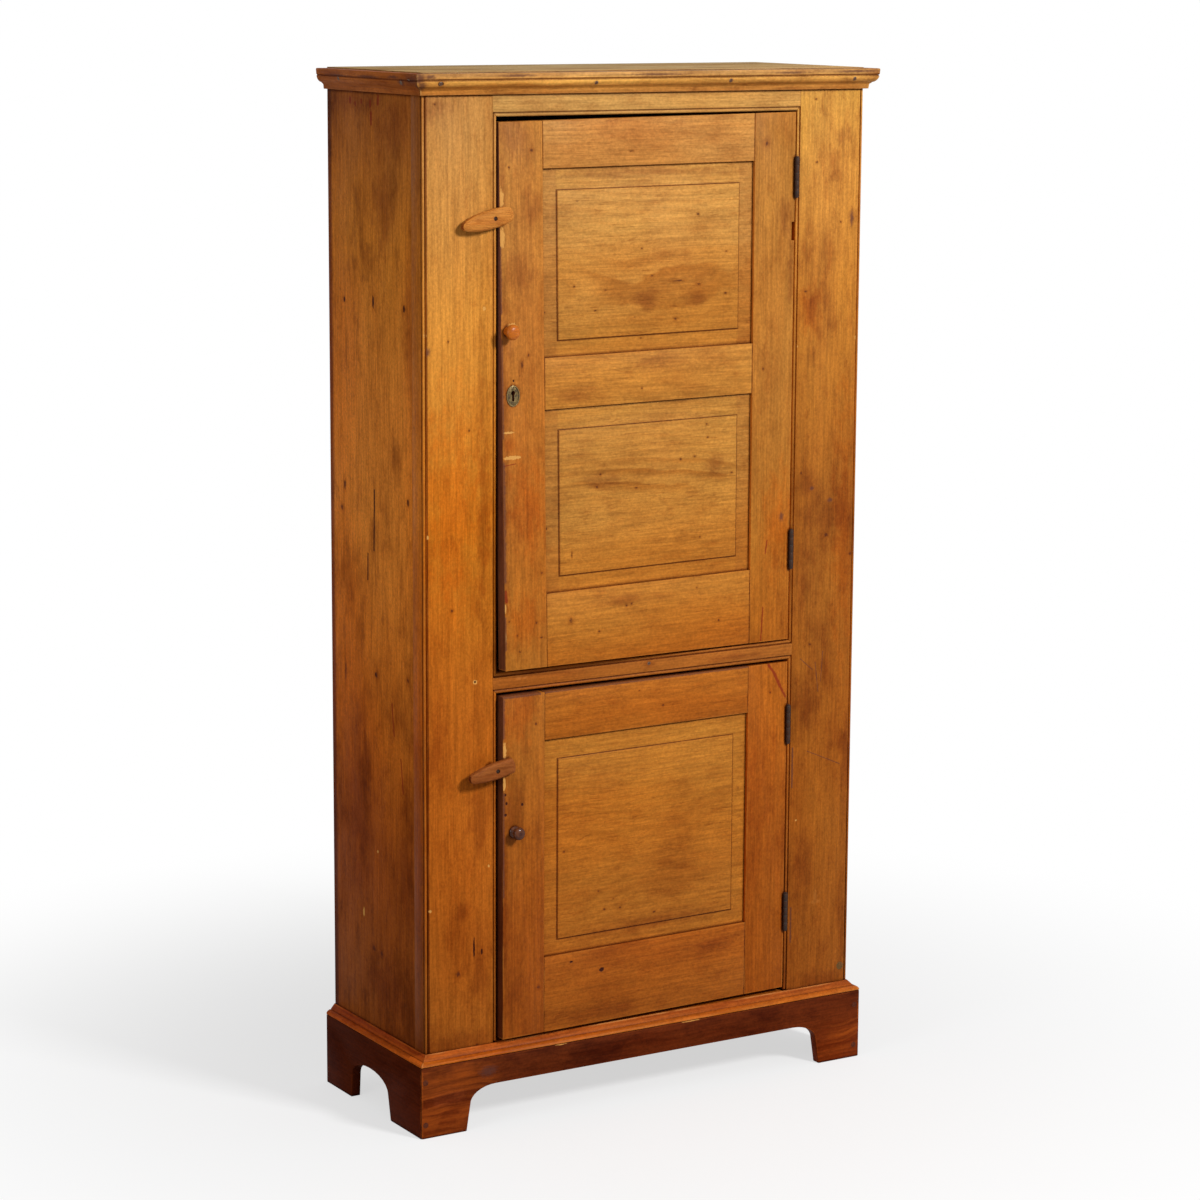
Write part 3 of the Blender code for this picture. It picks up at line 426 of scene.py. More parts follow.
# How marks look, from the first laid on to the last: kind, how its rim wanders or how ragged it
# is, how far from its middle it is whole and where it is gone, its strength, its blend and colour
mark_looks = [
    ("warm", "soft", 0.0, 1.4, 0.8, "MULTIPLY", rgb(1, 0.74, 0.5)),
    ("dim", "straight", 0.7, 1.1, 1.0, "MULTIPLY", rgb(0.87, 0.83, 0.87)),
    ("faint", "ragged", 0.4, 1.3, 0.7, "MULTIPLY", rgb(1.3, 1.5, 2.2)),
    ("rubbed", "soft", 0.0, 2.2, 0.6, "MIX", None),
    ("shade", "soft", 0.0, 1.4, 0.75, "MULTIPLY", rgb(0.62, 0.5, 0.52)),
    # Dark joints, and painted shadow lines round the panels' fields
    ("seam", 0.4, 0.3, 1.2, 0.9, "MULTIPLY", seam_tint),
    ("knot", "ragged", 0.7, 2.0, 0.5, "MULTIPLY", ring_tint),
    ("knot", "ragged", 0.2, 0.95, 0.8, "MIX", knot_brown),
    ("red", "ragged", 0.5, 1.25, 0.75, "MIX", scratch_red),
    ("pale", "ragged", 0.8, 1.15, 0.9, "MIX", bare_wood),
    ("hole", 0.6, 0.7, 1.15, 1.0, "MIX", dirt_and_shade),
]


def marked(graph, face, marks, wobble):
    """How far a point is from the nearest mark, where 1 is a mark's rim.

    On the face of a board a dot is (across, up) or (across, up, radius), a spot is
    (across, up, half width, half height), and a stroke is (across, up, across, up, half width).
    """
    nearest = None
    point = graph.combine(face[0], face[1])
    for mark in marks:
        if len(mark) < 5:
            across, up, *reaches = mark
            reaches = reaches or [dot_radius]
            beside = graph.vector("SUBTRACT", point, (across, up, 0))
            beside = graph.vector("MULTIPLY", beside, (1 / reaches[0], 1 / reaches[-1], 1))
            reach = graph.vector("LENGTH", beside)
        else:
            start = Vector((mark[0], mark[1], 0))
            run = Vector((mark[2], mark[3], 0)) - start
            from_start = graph.vector("SUBTRACT", point, start)
            share = graph.vector("DOT_PRODUCT", from_start, run / run.length_squared)
            share = graph.math("MINIMUM", graph.math("MAXIMUM", share, 0.0), 1.0)
            along = graph.vector("MULTIPLY", graph.combine(share, share), run)
            beside = graph.vector("SUBTRACT", from_start, along)
            reach = graph.math("DIVIDE", graph.vector("LENGTH", beside), mark[4])
        nearest = reach if nearest is None else graph.math("MINIMUM", nearest, reach)
    return graph.plus(nearest, wobble)


def wood(name, along, finish, centre, seed, marks, face_axes, outward):
    """A varnished board whose grain runs along one axis.

    Its marks lie across two axes, on the face that looks outward along the third: -1 or 1.
    """
    graph = Surface(name)
    fade, mix, tint = graph.fade, graph.mix, graph.tint
    plus, times, times_plus = graph.plus, graph.times, graph.times_plus
    axes = graph.split(graph.place)
    order = axis_orders[along]
    run = axes[order[0]]
    across = graph.math("SUBTRACT", axes[order[1]], centre[order[1]])
    depth = graph.math("SUBTRACT", axes[order[2]], centre[order[2]])
    board = graph.vector("ADD", graph.combine(run, across, depth), (3.7 * seed, 1.3 * seed, 2.1 * seed))
    if finish.scale != 1:
        board = graph.vector("MULTIPLY", board, (finish.scale,) * 3)
    face = (axes[face_axes[0]], axes[face_axes[1]])

    def grain(along_it, across_it, detail=2.0, roughness=0.5, where=board):
        """Noise with so many features per metre along the grain and across it."""
        return graph.noise(where, (along_it, across_it, across_it), detail, roughness)

    # Growth rings round a heart that wanders along the board
    ring_x = graph.math("SUBTRACT", across, pith_aside)
    ring_x = times_plus(grain(1.6, 2), ring_drift, ring_x)
    ring_y = plus(depth, pith_behind)
    ring_y = times_plus(grain(2.6, 0.5, 1.0), ring_sway, ring_y)
    radius = graph.vector("LENGTH", graph.combine(ring_x, ring_y))
    radius = times_plus(grain(16, 40), ring_ripple, radius)
    phase = graph.math("FRACT", graph.math("DIVIDE", radius, finish.spacing))
    late = times(fade(phase, 0.2, 0.8), fade(phase, 0.84, 1.0, 1.0, 0.0))

    # Fibre, streaks, clouds, pores and specks. Such noise lies mostly between 0.3 and 0.7, and the
    # limits of the fades below choose how much of it shows
    fibre = grain(8, 210, 5.0, 0.72)
    patina = grain(150, 190, 5.0, 0.75)
    bend = times(grain(6, 9), streak_bend)
    bent = graph.vector("ADD", board, graph.combine(0.0, bend, 0.0))
    streak = grain(2.6, 46, 5.0, 0.7, bent)
    cloud = grain(4.2, 9, 6.0, 0.66)
    blotch = grain(17, 32, 7.0, 0.76)
    broad = grain(1.2, 3.4)
    pores = grain(30, 420, 1.5, where=bent)
    pore_patch = grain(5, 15)
    speck = graph.specks(board, (16, 26, 26), 0.05, 0.1)

    uneven = times_plus(broad, uneven_tone, plus(axes[2], -uneven_tone / 2))
    tall = finish.tones[-1][0] - finish.tones[0][0] > tall_board
    level = uneven if tall else axes[2]
    # Tone by height, partly painted shade that darkens towards the floor
    colour = graph.ramp(level, finish.tones)
    facing = graph.split(graph.facing)
    behind = fade(times(facing[1 - face_axes[0]], -outward), 0.3, 0.6)
    sideways = 0.0
    if face_axes[0] == 0:
        sideways = fade(graph.math("ABSOLUTE", facing[0]), 0.6, 0.85)
        if finish.flank_tones:
            colour = mix(sideways, colour, graph.ramp(level, finish.flank_tones))
        # Faces turned sideways take their own tint, which holds painted light and shade
        colour = tint(sideways, colour, rgb(*finish.flank_shading_and_tint))
    colour = mix(times(behind, 0.85), colour, inner_pine)
    colour = tint(1.0, colour, mix(fade(broad, 0.36, 0.64), warm_tint, ochre_tint))
    for pattern, start, end, amount, by in (
        (streak, 0.56, 0.3, finish.streak, ring_tint),
        (streak, 0.5, 0.7, finish.streak, pale_streak),
        (cloud, 0.49, 0.7, finish.cloud, rgb(*finish.stain)),
        (cloud, 0.48, 0.3, finish.cloud, pale_cloud),
        (blotch, 0.5, 0.68, 0.55, rgb(*finish.stain)),
        (blotch, 0.5, 0.34, 0.55, pale_blotch),
    ):
        colour = tint(fade(pattern, start, end, 0.0, amount), colour, by)
    figure = finish.figure
    if "figure" in marks:
        near = fade(marked(graph, face, marks["figure"], 0.0), 0.5, 1.3, 4.0, 1.0)
        figure = times(near, finish.figure)
    colour = tint(times(late, figure), colour, ring_tint)
    dashes = times(fade(pores, 0.6, 0.7), fade(pore_patch, 0.4, 0.6, 0.25, 1.0))
    colour = tint(times(dashes, finish.dash), colour, pore_tint)
    shade = fade(fibre, 0.3, 0.7, 0.8, 1.18)
    shade = times(shade, fade(patina, 0.3, 0.7, 0.83, 1.17))
    colour = tint(1.0, colour, graph.combine(shade, shade, shade))
    colour = mix(times(speck, finish.speck), colour, knot_brown)

    # Marks seen in the photograph
    rough = fade(cloud, 0.3, 0.75, finish.rough - 0.06, finish.rough + 0.1)
    height = times(fibre, 0.35)
    height = times_plus(late, 0.15, height)
    height = times_plus(dashes, -0.4, height)
    wander = {}
    reaches = {}
    if marks:
        off_face = times(plus(sideways, behind), 9.0)
        ragged = plus(times_plus(grain(170, 280), 1.4, -0.7), off_face)
        soft = plus(times_plus(grain(24, 46, 5.0, 0.7), 3.0, -1.5), off_face)
        wander = {"straight": off_face, "soft": soft, "ragged": ragged}
    for kind, way, whole, gone, amount, blend, by in mark_looks:
        if kind not in marks:
            continue
        if kind not in reaches:
            wobble = wander[way] if way in wander else times(ragged, way)
            reaches[kind] = marked(graph, face, marks[kind], wobble)
        strength = fade(reaches[kind], whole, gone, amount, 0.0)
        if kind == "rubbed":
            strength = times(strength, fade(streak, 0.38, 0.64))
            by = rgb(*finish.worn)
        colour = mix(strength, colour, by, blend)
        if kind == "pale":
            rough = times_plus(strength, 0.2, rough)
            height = graph.math("SUBTRACT", height, strength)
        if kind == "hole":
            height = times_plus(strength, -2.0, height)

    # Worn edges where nothing is near, stains, and dirt with painted shade in the corners and joints
    edge = graph.hollow(edge_wear_reach, inside=True)
    near = graph.hollow(corner_dirt_and_shade_reach)
    worn = times(fade(edge, 0.55, 0.95, 1.0, 0.0), fade(grain(13, 38, 3.0), 0.38, 0.62))
    worn = times(worn, fade(near, 0.82, 0.97))
    colour = mix(times(worn, 0.75), colour, rgb(*finish.worn))
    if "stain" in marks:
        reach = marked(graph, face, marks["stain"], wander["ragged"])
        colour = mix(fade(reach, 0.2, 1.3, 0.75, 0.0), colour, deep_stain)
    # Corners and joints are darkened by how enclosed they are: painted shade along with dirt, eased on faces
    # turned sideways
    corner = fade(near, 0.55, 1.0, 0.95, 0.0)
    corner = times(corner, times_plus(sideways, -0.75, 1.0))
    colour = tint(corner, colour, seam_tint)

    graph.set("Base Color", colour)
    graph.set("Roughness", times_plus(worn, 0.12, rough))
    graph.set("Specular IOR Level", finish.gloss)
    graph.bump(height, wood_relief)
    return graph.material


def metal(name, dark, bright, rust, rough, dirt_and_shade_reach=iron_dirt_reach):
    """Old metal: dark skin, bright where rubbed, and rust in patches."""
    graph = Surface(name)
    patch = graph.noise(graph.place, (260,) * 3, 4.0, 0.65)
    grit = graph.noise(graph.place, (1500,) * 3, 2.0)
    colour = graph.mix(graph.fade(patch, 0.4, 0.62), dark, rust)
    edge = graph.fade(graph.hollow(iron_wear_reach, inside=True), 0.5, 0.95, 1.0, 0.0)
    colour = graph.mix(graph.times(edge, 0.6), colour, bright)
    # Darker in hollows: oxide on hinges and screws, and painted shade on the lock case with its far reach
    colour = graph.mix(graph.fade(graph.hollow(dirt_and_shade_reach), 0.25, 0.8, 0.9, 0.0), colour, dirt_and_shade)
    graph.set("Base Color", colour)
    graph.set("Metallic", 0.6)
    graph.set("Specular IOR Level", 0.3)
    graph.set("Roughness", graph.fade(patch, 0.35, 0.7, rough - 0.1, rough + 0.2))
    graph.bump(graph.times_plus(grit, 0.4, patch), iron_relief)
    return graph.material


def lacquer(name, colour, lighter):
    """Dark polished wood under a glossy coat, rubbed through in places."""
    graph = Surface(name)
    patch = graph.noise(graph.place, (90,) * 3, 4.0, 0.6)
    grain = graph.noise(graph.place, (900.0, 120.0, 900.0), 3.0)
    skin = graph.mix(graph.fade(patch, 0.4, 0.68), colour, lighter)
    skin = graph.tint(graph.fade(grain, 0.5, 0.7, 0.0, 0.5), skin, ring_tint)
    skin = graph.mix(graph.fade(graph.hollow(lacquer_dirt_reach), 0.3, 0.85, 0.8, 0.0), skin, dirt_and_shade)
    graph.set("Base Color", skin)
    graph.set("Roughness", graph.fade(patch, 0.3, 0.7, 0.16, 0.32))
    graph.set("Specular IOR Level", 0.1)
    graph.set("Coat Weight", 0.2)
    graph.set("Coat Roughness", 0.1)
    graph.bump(grain, lacquer_relief)
    return graph.material


def end_grain(name, colour, darker, centre_tint):
    """A wooden plug seen end on, with dirt round it."""
    graph = Surface(name)
    rings = graph.noise(graph.place, (420.0, 60.0, 420.0), 3.0, 0.6)
    patch = graph.noise(graph.place, (140,) * 3, 2.0)
    skin = graph.mix(graph.fade(rings, 0.4, 0.65), colour, darker)
    skin = graph.tint(graph.fade(patch, 0.4, 0.65), skin, centre_tint)
    skin = graph.mix(graph.fade(graph.hollow(plug_dirt_reach), 0.4, 0.95, 0.9, 0.0), skin, dirt_and_shade)
    graph.set("Base Color", skin)
    graph.set("Roughness", graph.fade(patch, 0.3, 0.7, 0.5, 0.7))
    graph.set("Specular IOR Level", 0.1)
    graph.bump(rings, plug_relief)
    return graph.material


iron = metal("old_iron", rgb(0.03, 0.02, 0.016), rgb(0.13, 0.095, 0.075), rgb(0.06, 0.024, 0.013), 0.6)
nail_iron = metal("nail_iron", rgb(0.07, 0.045, 0.032), rgb(0.36, 0.27, 0.2), rgb(0.12, 0.05, 0.026), 0.65)
# Darkened wherever it is enclosed: painted shade
lock_iron = metal(
    "lock_iron", rgb(0.04, 0.032, 0.028), rgb(0.13, 0.11, 0.1), rgb(0.06, 0.03, 0.018), 0.6, lock_shade_reach,
)
plate_brass = metal("plate_brass", rgb(0.15, 0.1, 0.035), rgb(0.36, 0.27, 0.11), rgb(0.05, 0.032, 0.014), 0.5)
dark_lacquer = lacquer("dark_lacquer", rgb(0.05, 0.012, 0.005), rgb(0.13, 0.038, 0.012))
brown_plug = end_grain("brown_plug", rgb(0.13, 0.03, 0.01), rgb(0.07, 0.016, 0.007), rgb(0.8, 0.8, 0.9))
olive_plug = end_grain("olive_plug", rgb(0.2, 0.085, 0.025), rgb(0.12, 0.05, 0.018), rgb(0.8, 0.95, 0.9))

# Which way a board's grain runs where it isn't along X, and its finish
grains = {
    "stile": "Z",
    "side_": "Z",
    "back_board": "Z",
    "base_left": "Y",
    "base_right": "Y",
    "moulding_left": "Y",
    "moulding_right": "Y",
    "cornice_left": "Y",
    "cornice_right": "Y",
}
finishes = {
    "rail": rail,
    "middle_rail": narrow_rail,
    "latch_stile": latch_stile,
    "hinge_stile": hinge_stile,
    "stile_left": left_stile,
    "stile_right": right_stile,
    "panel": panel,
    "side_left": side_board,
    "side_right": far_side,
    "cornice_": cornice_flank,
    "cornice_front": cornice_face,
    "base_": base_flank,
    "base_front": base_face,
    "moulding_": moulding_flank,
    "moulding_front": moulding_face,
    "top_board": dusty_top,
    "bottom_board": bare_pine,
    "shelf": bare_pine,
    "back_board": back_pine,
    "button": button_wood,
    "upper_knob": knob_wood,
}
surfaces = {
    "hinge_1": iron,
    "hinge_2": iron,
    "screw": iron,
    "lock_case": lock_iron,
    "lock_bolt": lock_iron,
    "keyhole_plate": plate_brass,
    "lower_knob": dark_lacquer,
}


def field_shadow_lines(bottom, top):
    """Painted shadow lines round a panel's field, wider at the left and bottom. bottom and top are its
    heights at the left and at the right.
    """
    left, right = -field_half_width, field_half_width
    return [
        (left, bottom[0], left, top[0], seam_half_width),
        (left, bottom[0], right, bottom[1], seam_half_width),
        (left, top[0], right, top[1], thin_seam_half_width),
        (right, bottom[1], right, top[1], thin_seam_half_width),
    ]


# Marks on each board's face, written as marked() takes them
marks = {}
marks["side_left"] = {
    "shade": [
        (-0.06, 1.9, 0.06), (-0.02, 1.75, 0.05, 0.1), (0.1, 1.94, 0.14, 0.025), (-0.12, 1.5, 0.03, 0.2),
        (0.1, 0.6, 0.06, 0.2), (-0.1, 0.5, 0.05, 0.2), (0.0, 0.25, 0.1, 0.06),
    ],
    "seam": [(0.205, 0.1, 0.205, 1.96, 0.014)],
    "knot": [
        (0.145, 1.566, 0.006, 0.005), (0.027, 1.571, 0.006, 0.016), (-0.096, 1.568, 0.007, 0.009),
        (0.149, 1.211, 0.006, 0.015), (0.162, 1.165, 0.008), (-0.108, 1.209, 0.007, 0.01),
        (0.151, 0.847, 0.004, 0.03), (0.025, 0.86, 0.008), (-0.105, 0.872, 0.006, 0.007),
        (0.041, 0.316, 0.009), (0.008, 0.313, 0.008, 0.007),
    ],
    "hole": [
        (0.027, 1.215, 0.03, 1.1, 0.0026), (0.055, 1.09, 0.056, 1.04, 0.0022),
        (0.027, 1.571, 0.0035, 0.012), (0.145, 1.566, 0.0022, 0.006), (-0.096, 1.568, 0.003, 0.007),
        (0.149, 1.211, 0.0022, 0.008), (-0.108, 1.209, 0.0025, 0.006), (0.025, 0.86, 0.003, 0.005),
    ],
    "red": [
        (0.115, 1.944, 0.115, 1.938, 0.004), (0.095, 1.937, 0.094, 1.934, 0.003),
        (0.07, 1.943, 0.07, 1.938, 0.003), (0.034, 1.942, 0.034, 1.933, 0.003),
        (0.002, 1.952, 0.003, 1.938, 0.004), (0.031, 1.92, 0.031, 1.9, 0.004),
        (-0.04, 0.815, -0.048, 0.755, 0.0022), (-0.075, 0.714, -0.083, 0.65, 0.0022),
    ],
    "pale": [(0.022, 0.513), (0.082, 0.38, 0.004, 0.009)],
}
marks["stile_left"] = {
    "warm": [(-0.43, 1.2, 0.08, 0.2)],
    "shade": [
        (-0.46, 1.93, 0.05, 0.03), (-0.41, 0.427, 0.02), (-0.42, 0.17, 0.09, 0.03), (-0.37, 0.6, 0.03, 0.1),
        (-0.46, 0.75, 0.03, 0.08), (-0.37, 0.3, 0.03, 0.08), (-0.36, 1.2, 0.015, 0.3),
    ],
    "stain": [(-0.476, 1.495, 0.006, 0.01)],
    "seam": [(-0.4787, 0.16, -0.4787, 1.96, 0.0024)],
    "knot": [
        (-0.46, 1.943, 0.004, 0.003), (-0.434, 1.512), (-0.39, 1.345), (-0.479, 0.734), (-0.375, 0.162),
        (-0.427, 1.01, 0.004), (-0.415, 0.307, 0.007),
    ],
    "hole": [(-0.378, 0.87, 0.002), (-0.381, 0.354, 0.002, 0.022), (-0.364, 0.344, 0.002, 0.006)],
    "pale": [
        (-0.358, 1.569, 0.003, 0.004), (-0.482, 1.525, 0.003, 0.004), (-0.349, 0.511, 0.002, 0.003),
        (-0.475, 0.439), (-0.478, 1.152, 0.003, 0.004), (-0.378, 0.87, 0.0045),
    ],
}
marks["stile_right"] = {
    "warm": [(0.37, 1.53, 0.03, 0.06), (0.46, 1.1, 0.03, 0.25)],
    "shade": [
        (0.44, 1.868, 0.02), (0.374, 1.531, 0.02, 0.035), (0.42, 1.12, 0.06, 0.07),
        (0.38, 0.75, 0.03, 0.06), (0.475, 0.62, 0.012, 0.12), (0.37, 0.4, 0.03, 0.1), (0.37, 1.19, 0.03),
        (0.465, 1.709, 0.008, 0.02), (0.42, 0.17, 0.07, 0.025),
    ],
    "stain": [
        (0.465, 1.709, 0.005, 0.016), (0.381, 1.181, 0.006, 0.005), (0.425, 1.154, 0.007, 0.005),
        (0.36, 0.84, 0.39, 0.815, 0.001), (0.396, 0.83, 0.404, 0.77, 0.001),
        (0.414, 0.85, 0.41, 0.79, 0.001), (0.38, 0.65, 0.41, 0.637, 0.001),
        (0.41, 0.637, 0.46, 0.615, 0.001), (0.345, 0.66, 0.345, 0.58, 0.0025),
        (0.347, 0.33, 0.347, 0.26, 0.0025),
    ],
    "knot": [
        (0.376, 1.94, 0.004, 0.003), (0.38, 1.819), (0.439, 1.702), (0.358, 1.57, 0.004), (0.355, 1.213),
        (0.417, 1.085, 0.007, 0.006), (0.476, 1.042, 0.004, 0.005), (0.382, 0.867, 0.004),
    ],
    "pale": [(0.341, 1.463, 0.002), (0.48, 1.474, 0.003, 0.004), (0.356, 0.511, 0.002)],
    "faint": [(0.406, 0.345, 0.005, 0.018), (0.406, 0.335, 0.014, 0.004)],
}
marks["upper_door_latch_stile"] = {
    "warm": [(-0.27, 1.2, 0.04, 0.08), (-0.312, 1.314, 0.016, 0.02), (-0.29, 0.98, 0.05, 0.06)],
    "shade": [
        (-0.29, 1.633, 0.04), (-0.3, 1.88, 0.05), (-0.322, 1.4, 0.012, 0.3), (-0.322, 1.79, 0.01, 0.1),
        (-0.325, 1.05, 0.012, 0.1), (-0.26, 1.75, 0.03, 0.04),
    ],
    "knot": [
        (-0.259, 1.856, 0.005, 0.004), (-0.307, 1.826), (-0.27, 1.48, 0.003, 0.005),
        (-0.284, 1.462, 0.004, 0.009), (-0.245, 1.069), (-0.258, 0.975), (-0.295, 0.923), (-0.301, 0.955),
        (-0.318, 0.983), (-0.247, 0.946, 0.006, 0.002),
    ],
    "stain": [
        (-0.3275, 1.68, -0.3275, 1.56, 0.003), (-0.3275, 1.51, -0.3275, 1.33, 0.004),
        (-0.3275, 1.28, -0.3275, 1.06, 0.006), (-0.3275, 0.99, -0.3275, 0.93, 0.004),
    ],
    "hole": [(-0.303, 1.434, 0.0022)],
    "red": [(-0.326, 1.04, -0.324, 1.022, 0.004), (-0.328, 1.276, -0.3, 1.279, 0.001)],
    "pale": [
        (-0.3245, 1.769, 0.005, 0.02), (-0.324, 1.698, 0.006, 0.018), (-0.314, 1.338, 0.0125, 0.002),
        (-0.307, 1.291, 0.02, 0.0035), (-0.326, 1.009, 0.002, 0.009), (-0.326, 0.954, 0.002, 0.009),
        (-0.304, 1.536, 0.009, 0.005),
    ],
}
marks["upper_door_hinge_stile"] = {
    "warm": [(0.3, 1.12, 0.04, 0.1)],
    "shade": [(0.306, 1.722, 0.018, 0.035), (0.322, 1.604, 0.008, 0.06), (0.263, 1.857, 0.018, 0.016)],
    "stain": [(0.309, 1.13, 0.006, 0.01)],
    "knot": [(0.263, 1.857, 0.005), (0.26, 1.424, 0.003, 0.004)],
    "red": [(0.275, 1.085, 0.271, 1.06, 0.0016), (0.267, 0.953, 0.263, 0.887, 0.0018)],
}
marks["upper_door_top_rail"] = {"knot": [(-0.043, 1.85, 0.006, 0.002)]}
marks["upper_door_lock_rail"] = {
    "shade": [(-0.17, 1.4, 0.05, 0.02), (0.02, 1.45, 0.06, 0.02)],
    "knot": [(-0.019, 1.403)],
}
marks["upper_door_bottom_rail"] = {
    "shade": [(-0.05, 1.0, 0.1, 0.012)],
    "knot": [
        (-0.181, 0.972, 0.006), (-0.043, 0.991), (-0.055, 0.988), (0.109, 1.007), (-0.117, 0.945),
        (0.161, 0.939),
    ],
}
marks["upper_door_panel_2"] = {
    "figure": [(0.02, 1.6, 0.18, 0.05)],
    "seam": field_shadow_lines((1.5025, 1.505), (1.782, 1.7844)),
    "shade": [(0.105, 1.566, 0.03, 0.02), (0.001, 1.569, 0.03, 0.02), (0.0, 1.81, 0.2, 0.012)],
    "knot": [
        (-0.167, 1.602), (-0.098, 1.592, 0.004, 0.002), (-0.121, 1.555, 0.004, 0.002),
        (0.109, 1.728, 0.005, 0.004), (0.065, 1.603, 0.018, 0.0025), (-0.018, 1.667, 0.003, 0.002),
        (0.174, 1.655, 0.004, 0.002), (0.005, 1.615, 0.004, 0.002), (0.112, 1.595, 0.006, 0.002),
        (0.173, 1.575, 0.004, 0.003), (0.059, 1.531, 0.005, 0.004), (-0.018, 1.498, 0.004, 0.002),
        (-0.23, 1.556),
    ],
}
marks["upper_door_panel_1"] = {
    "figure": [(0.02, 1.233, 0.2, 0.035)],
    "seam": field_shadow_lines((1.0582, 1.0607), (1.3354, 1.3378)),
    "faint": [(-0.232, 1.3725, 0.232, 1.3755, 0.0012)],
    "shade": [(0.154, 1.24, 0.026, 0.022), (-0.1, 1.23, 0.05, 0.015)],
    "knot": [
        (0.134, 1.299, 0.004, 0.003), (0.132, 1.324), (0.104, 1.264, 0.004, 0.003), (0.072, 1.261),
        (-0.03, 1.213, 0.004, 0.002), (-0.119, 1.221, 0.004, 0.003), (-0.111, 1.245),
        (0.191, 1.226, 0.004, 0.003), (-0.176, 1.097, 0.002, 0.008), (0.118, 1.106, 0.003, 0.002),
        (-0.23, 1.15),
    ],
}
marks["middle_rail"] = {
    "shade": [(0.006, 0.867, 0.014, 0.008), (0.2, 0.86, 0.08, 0.008)],
    "faint": [(-0.284, 0.868, 0.006, 0.004), (-0.27, 0.867, 0.005, 0.003)],
}
marks["lower_door_top_rail"] = {
    "stain": [(-0.25, 0.837, 0.24, 0.837, 0.002)],
    "knot": [(0.034, 0.783), (-0.021, 0.818, 0.003, 0.002)],
}
marks["lower_door_latch_stile"] = {
    "warm": [(-0.29, 0.8, 0.05, 0.06), (-0.3, 0.82, 0.04, 0.03)],
    "shade": [(-0.3, 0.62, 0.03, 0.06), (-0.31, 0.25, 0.03, 0.06), (-0.325, 0.5, 0.008, 0.3)],
    "stain": [
        (-0.3275, 0.84, -0.3275, 0.76, 0.005), (-0.3275, 0.65, -0.3275, 0.45, 0.004),
        (-0.33, 0.8365, -0.245, 0.8365, 0.003),
    ],
    "knot": [(-0.255, 0.779), (-0.248, 0.26, 0.005)],
    "hole": [
        (-0.322, 0.649, 0.0025, 0.003), (-0.32, 0.632, 0.0025, 0.003), (-0.322, 0.61),
        (-0.285, 0.626, 0.0028, 0.0035),
    ],
    "pale": [(-0.3245, 0.733, 0.004, 0.015), (-0.3245, 0.671, 0.003, 0.015)],
}
marks["lower_door_hinge_stile"] = {
    "knot": [(0.289, 0.78)],
    "red": [
        (0.283, 0.836, 0.297, 0.819, 0.0028), (0.297, 0.819, 0.312, 0.79, 0.0038),
        (0.312, 0.79, 0.325, 0.768, 0.0028),
    ],
}
marks["lower_door_bottom_rail"] = {
    "shade": [(-0.12, 0.19, 0.15, 0.02), (0.15, 0.28, 0.05, 0.02)],
    "hole": [(-0.104, 0.273, 0.006, 0.0045), (-0.174, 0.299, 0.004, 0.002)],
}
marks["lower_door_panel_1"] = {
    "shade": [(0.0, 0.35, 0.2, 0.02)],
    "seam": field_shadow_lines((0.3474, 0.3474), (0.7046, 0.7046)),
    "knot": [
        (-0.096, 0.392, 0.004, 0.003), (-0.06, 0.39), (-0.075, 0.41, 0.003, 0.002), (-0.189, 0.519),
        (-0.11, 0.43, 0.003, 0.002), (0.02, 0.37, 0.004, 0.002),
    ],
}
marks["cornice_left"] = {
    "shade": [(-0.16, 1.985, 0.03, 0.02), (-0.05, 1.98, 0.05, 0.01), (0.15, 1.99, 0.05, 0.01)],
    "stain": [
        (-0.175, 1.988, 0.03, 0.012), (-0.13, 1.981, 0.014, 0.009), (-0.19, 1.975, 0.012, 0.014),
        (-0.1, 1.99, 0.025, 0.004), (0.0, 1.988, 0.05, 0.003), (0.12, 1.987, 0.05, 0.003),
    ],
}
marks["cornice_front"] = {
    "shade": [
        (-0.459, 1.98, 0.012, 0.008), (-0.132, 1.978, 0.007, 0.006), (0.165, 1.979, 0.007, 0.006),
        (-0.5, 1.985, 0.022, 0.02), (0.49, 1.99, 0.02, 0.012),
    ],
    "stain": [
        (-0.508, 1.99, 0.018, 0.014), (-0.496, 1.976, 0.01, 0.009), (0.3, 1.992, 0.04, 0.003),
        (-0.3, 1.993, 0.04, 0.003), (0.0, 1.992, 0.07, 0.003), (-0.48, 1.992, 0.012, 0.005),
        (0.45, 1.993, 0.05, 0.003),
    ],
    "seam": [(-0.51, 1.9875, 0.51, 1.9875, 0.0014)],
    "hole": [(-0.459, 1.98, 0.006, 0.004)],
}
marks["base_left"] = {"shade": [(0.18, 0.06, 0.05, 0.06)]}
marks["base_front"] = {
    "rubbed": [
        (-0.46, 0.055, -0.4, 0.06, 0.025), (-0.49, 0.02, -0.43, 0.018, 0.016), (-0.46, 0.07, 0.05, 0.02),
        (-0.42, 0.09, -0.47, 0.085, 0.014), (0.46, 0.05, 0.49, 0.055, 0.02),
        (-0.48, 0.06, -0.43, 0.07, 0.06),
    ],
    "faint": [(-0.47, 0.072, -0.425, 0.075, 0.014)],
    "shade": [
        (-0.46, 0.04, -0.43, 0.043, 0.007), (-0.465, 0.026, -0.435, 0.024, 0.006),
        (-0.43, 0.05, 0.02, 0.005),
    ],
    "stain": [(-0.361, 0.112, 0.02, 0.012)],
    "pale": [(0.1, 0.139, 0.02, 0.0012), (-0.2, 0.139, 0.012, 0.001)],
}


def upright_strokes(name, first, second, half_width=seam_half_width):
    """Two strokes, each from the bottom of a piece to its top."""
    low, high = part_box(name)
    return [(x, low[2], x, high[2], half_width) for x in (first, second)]


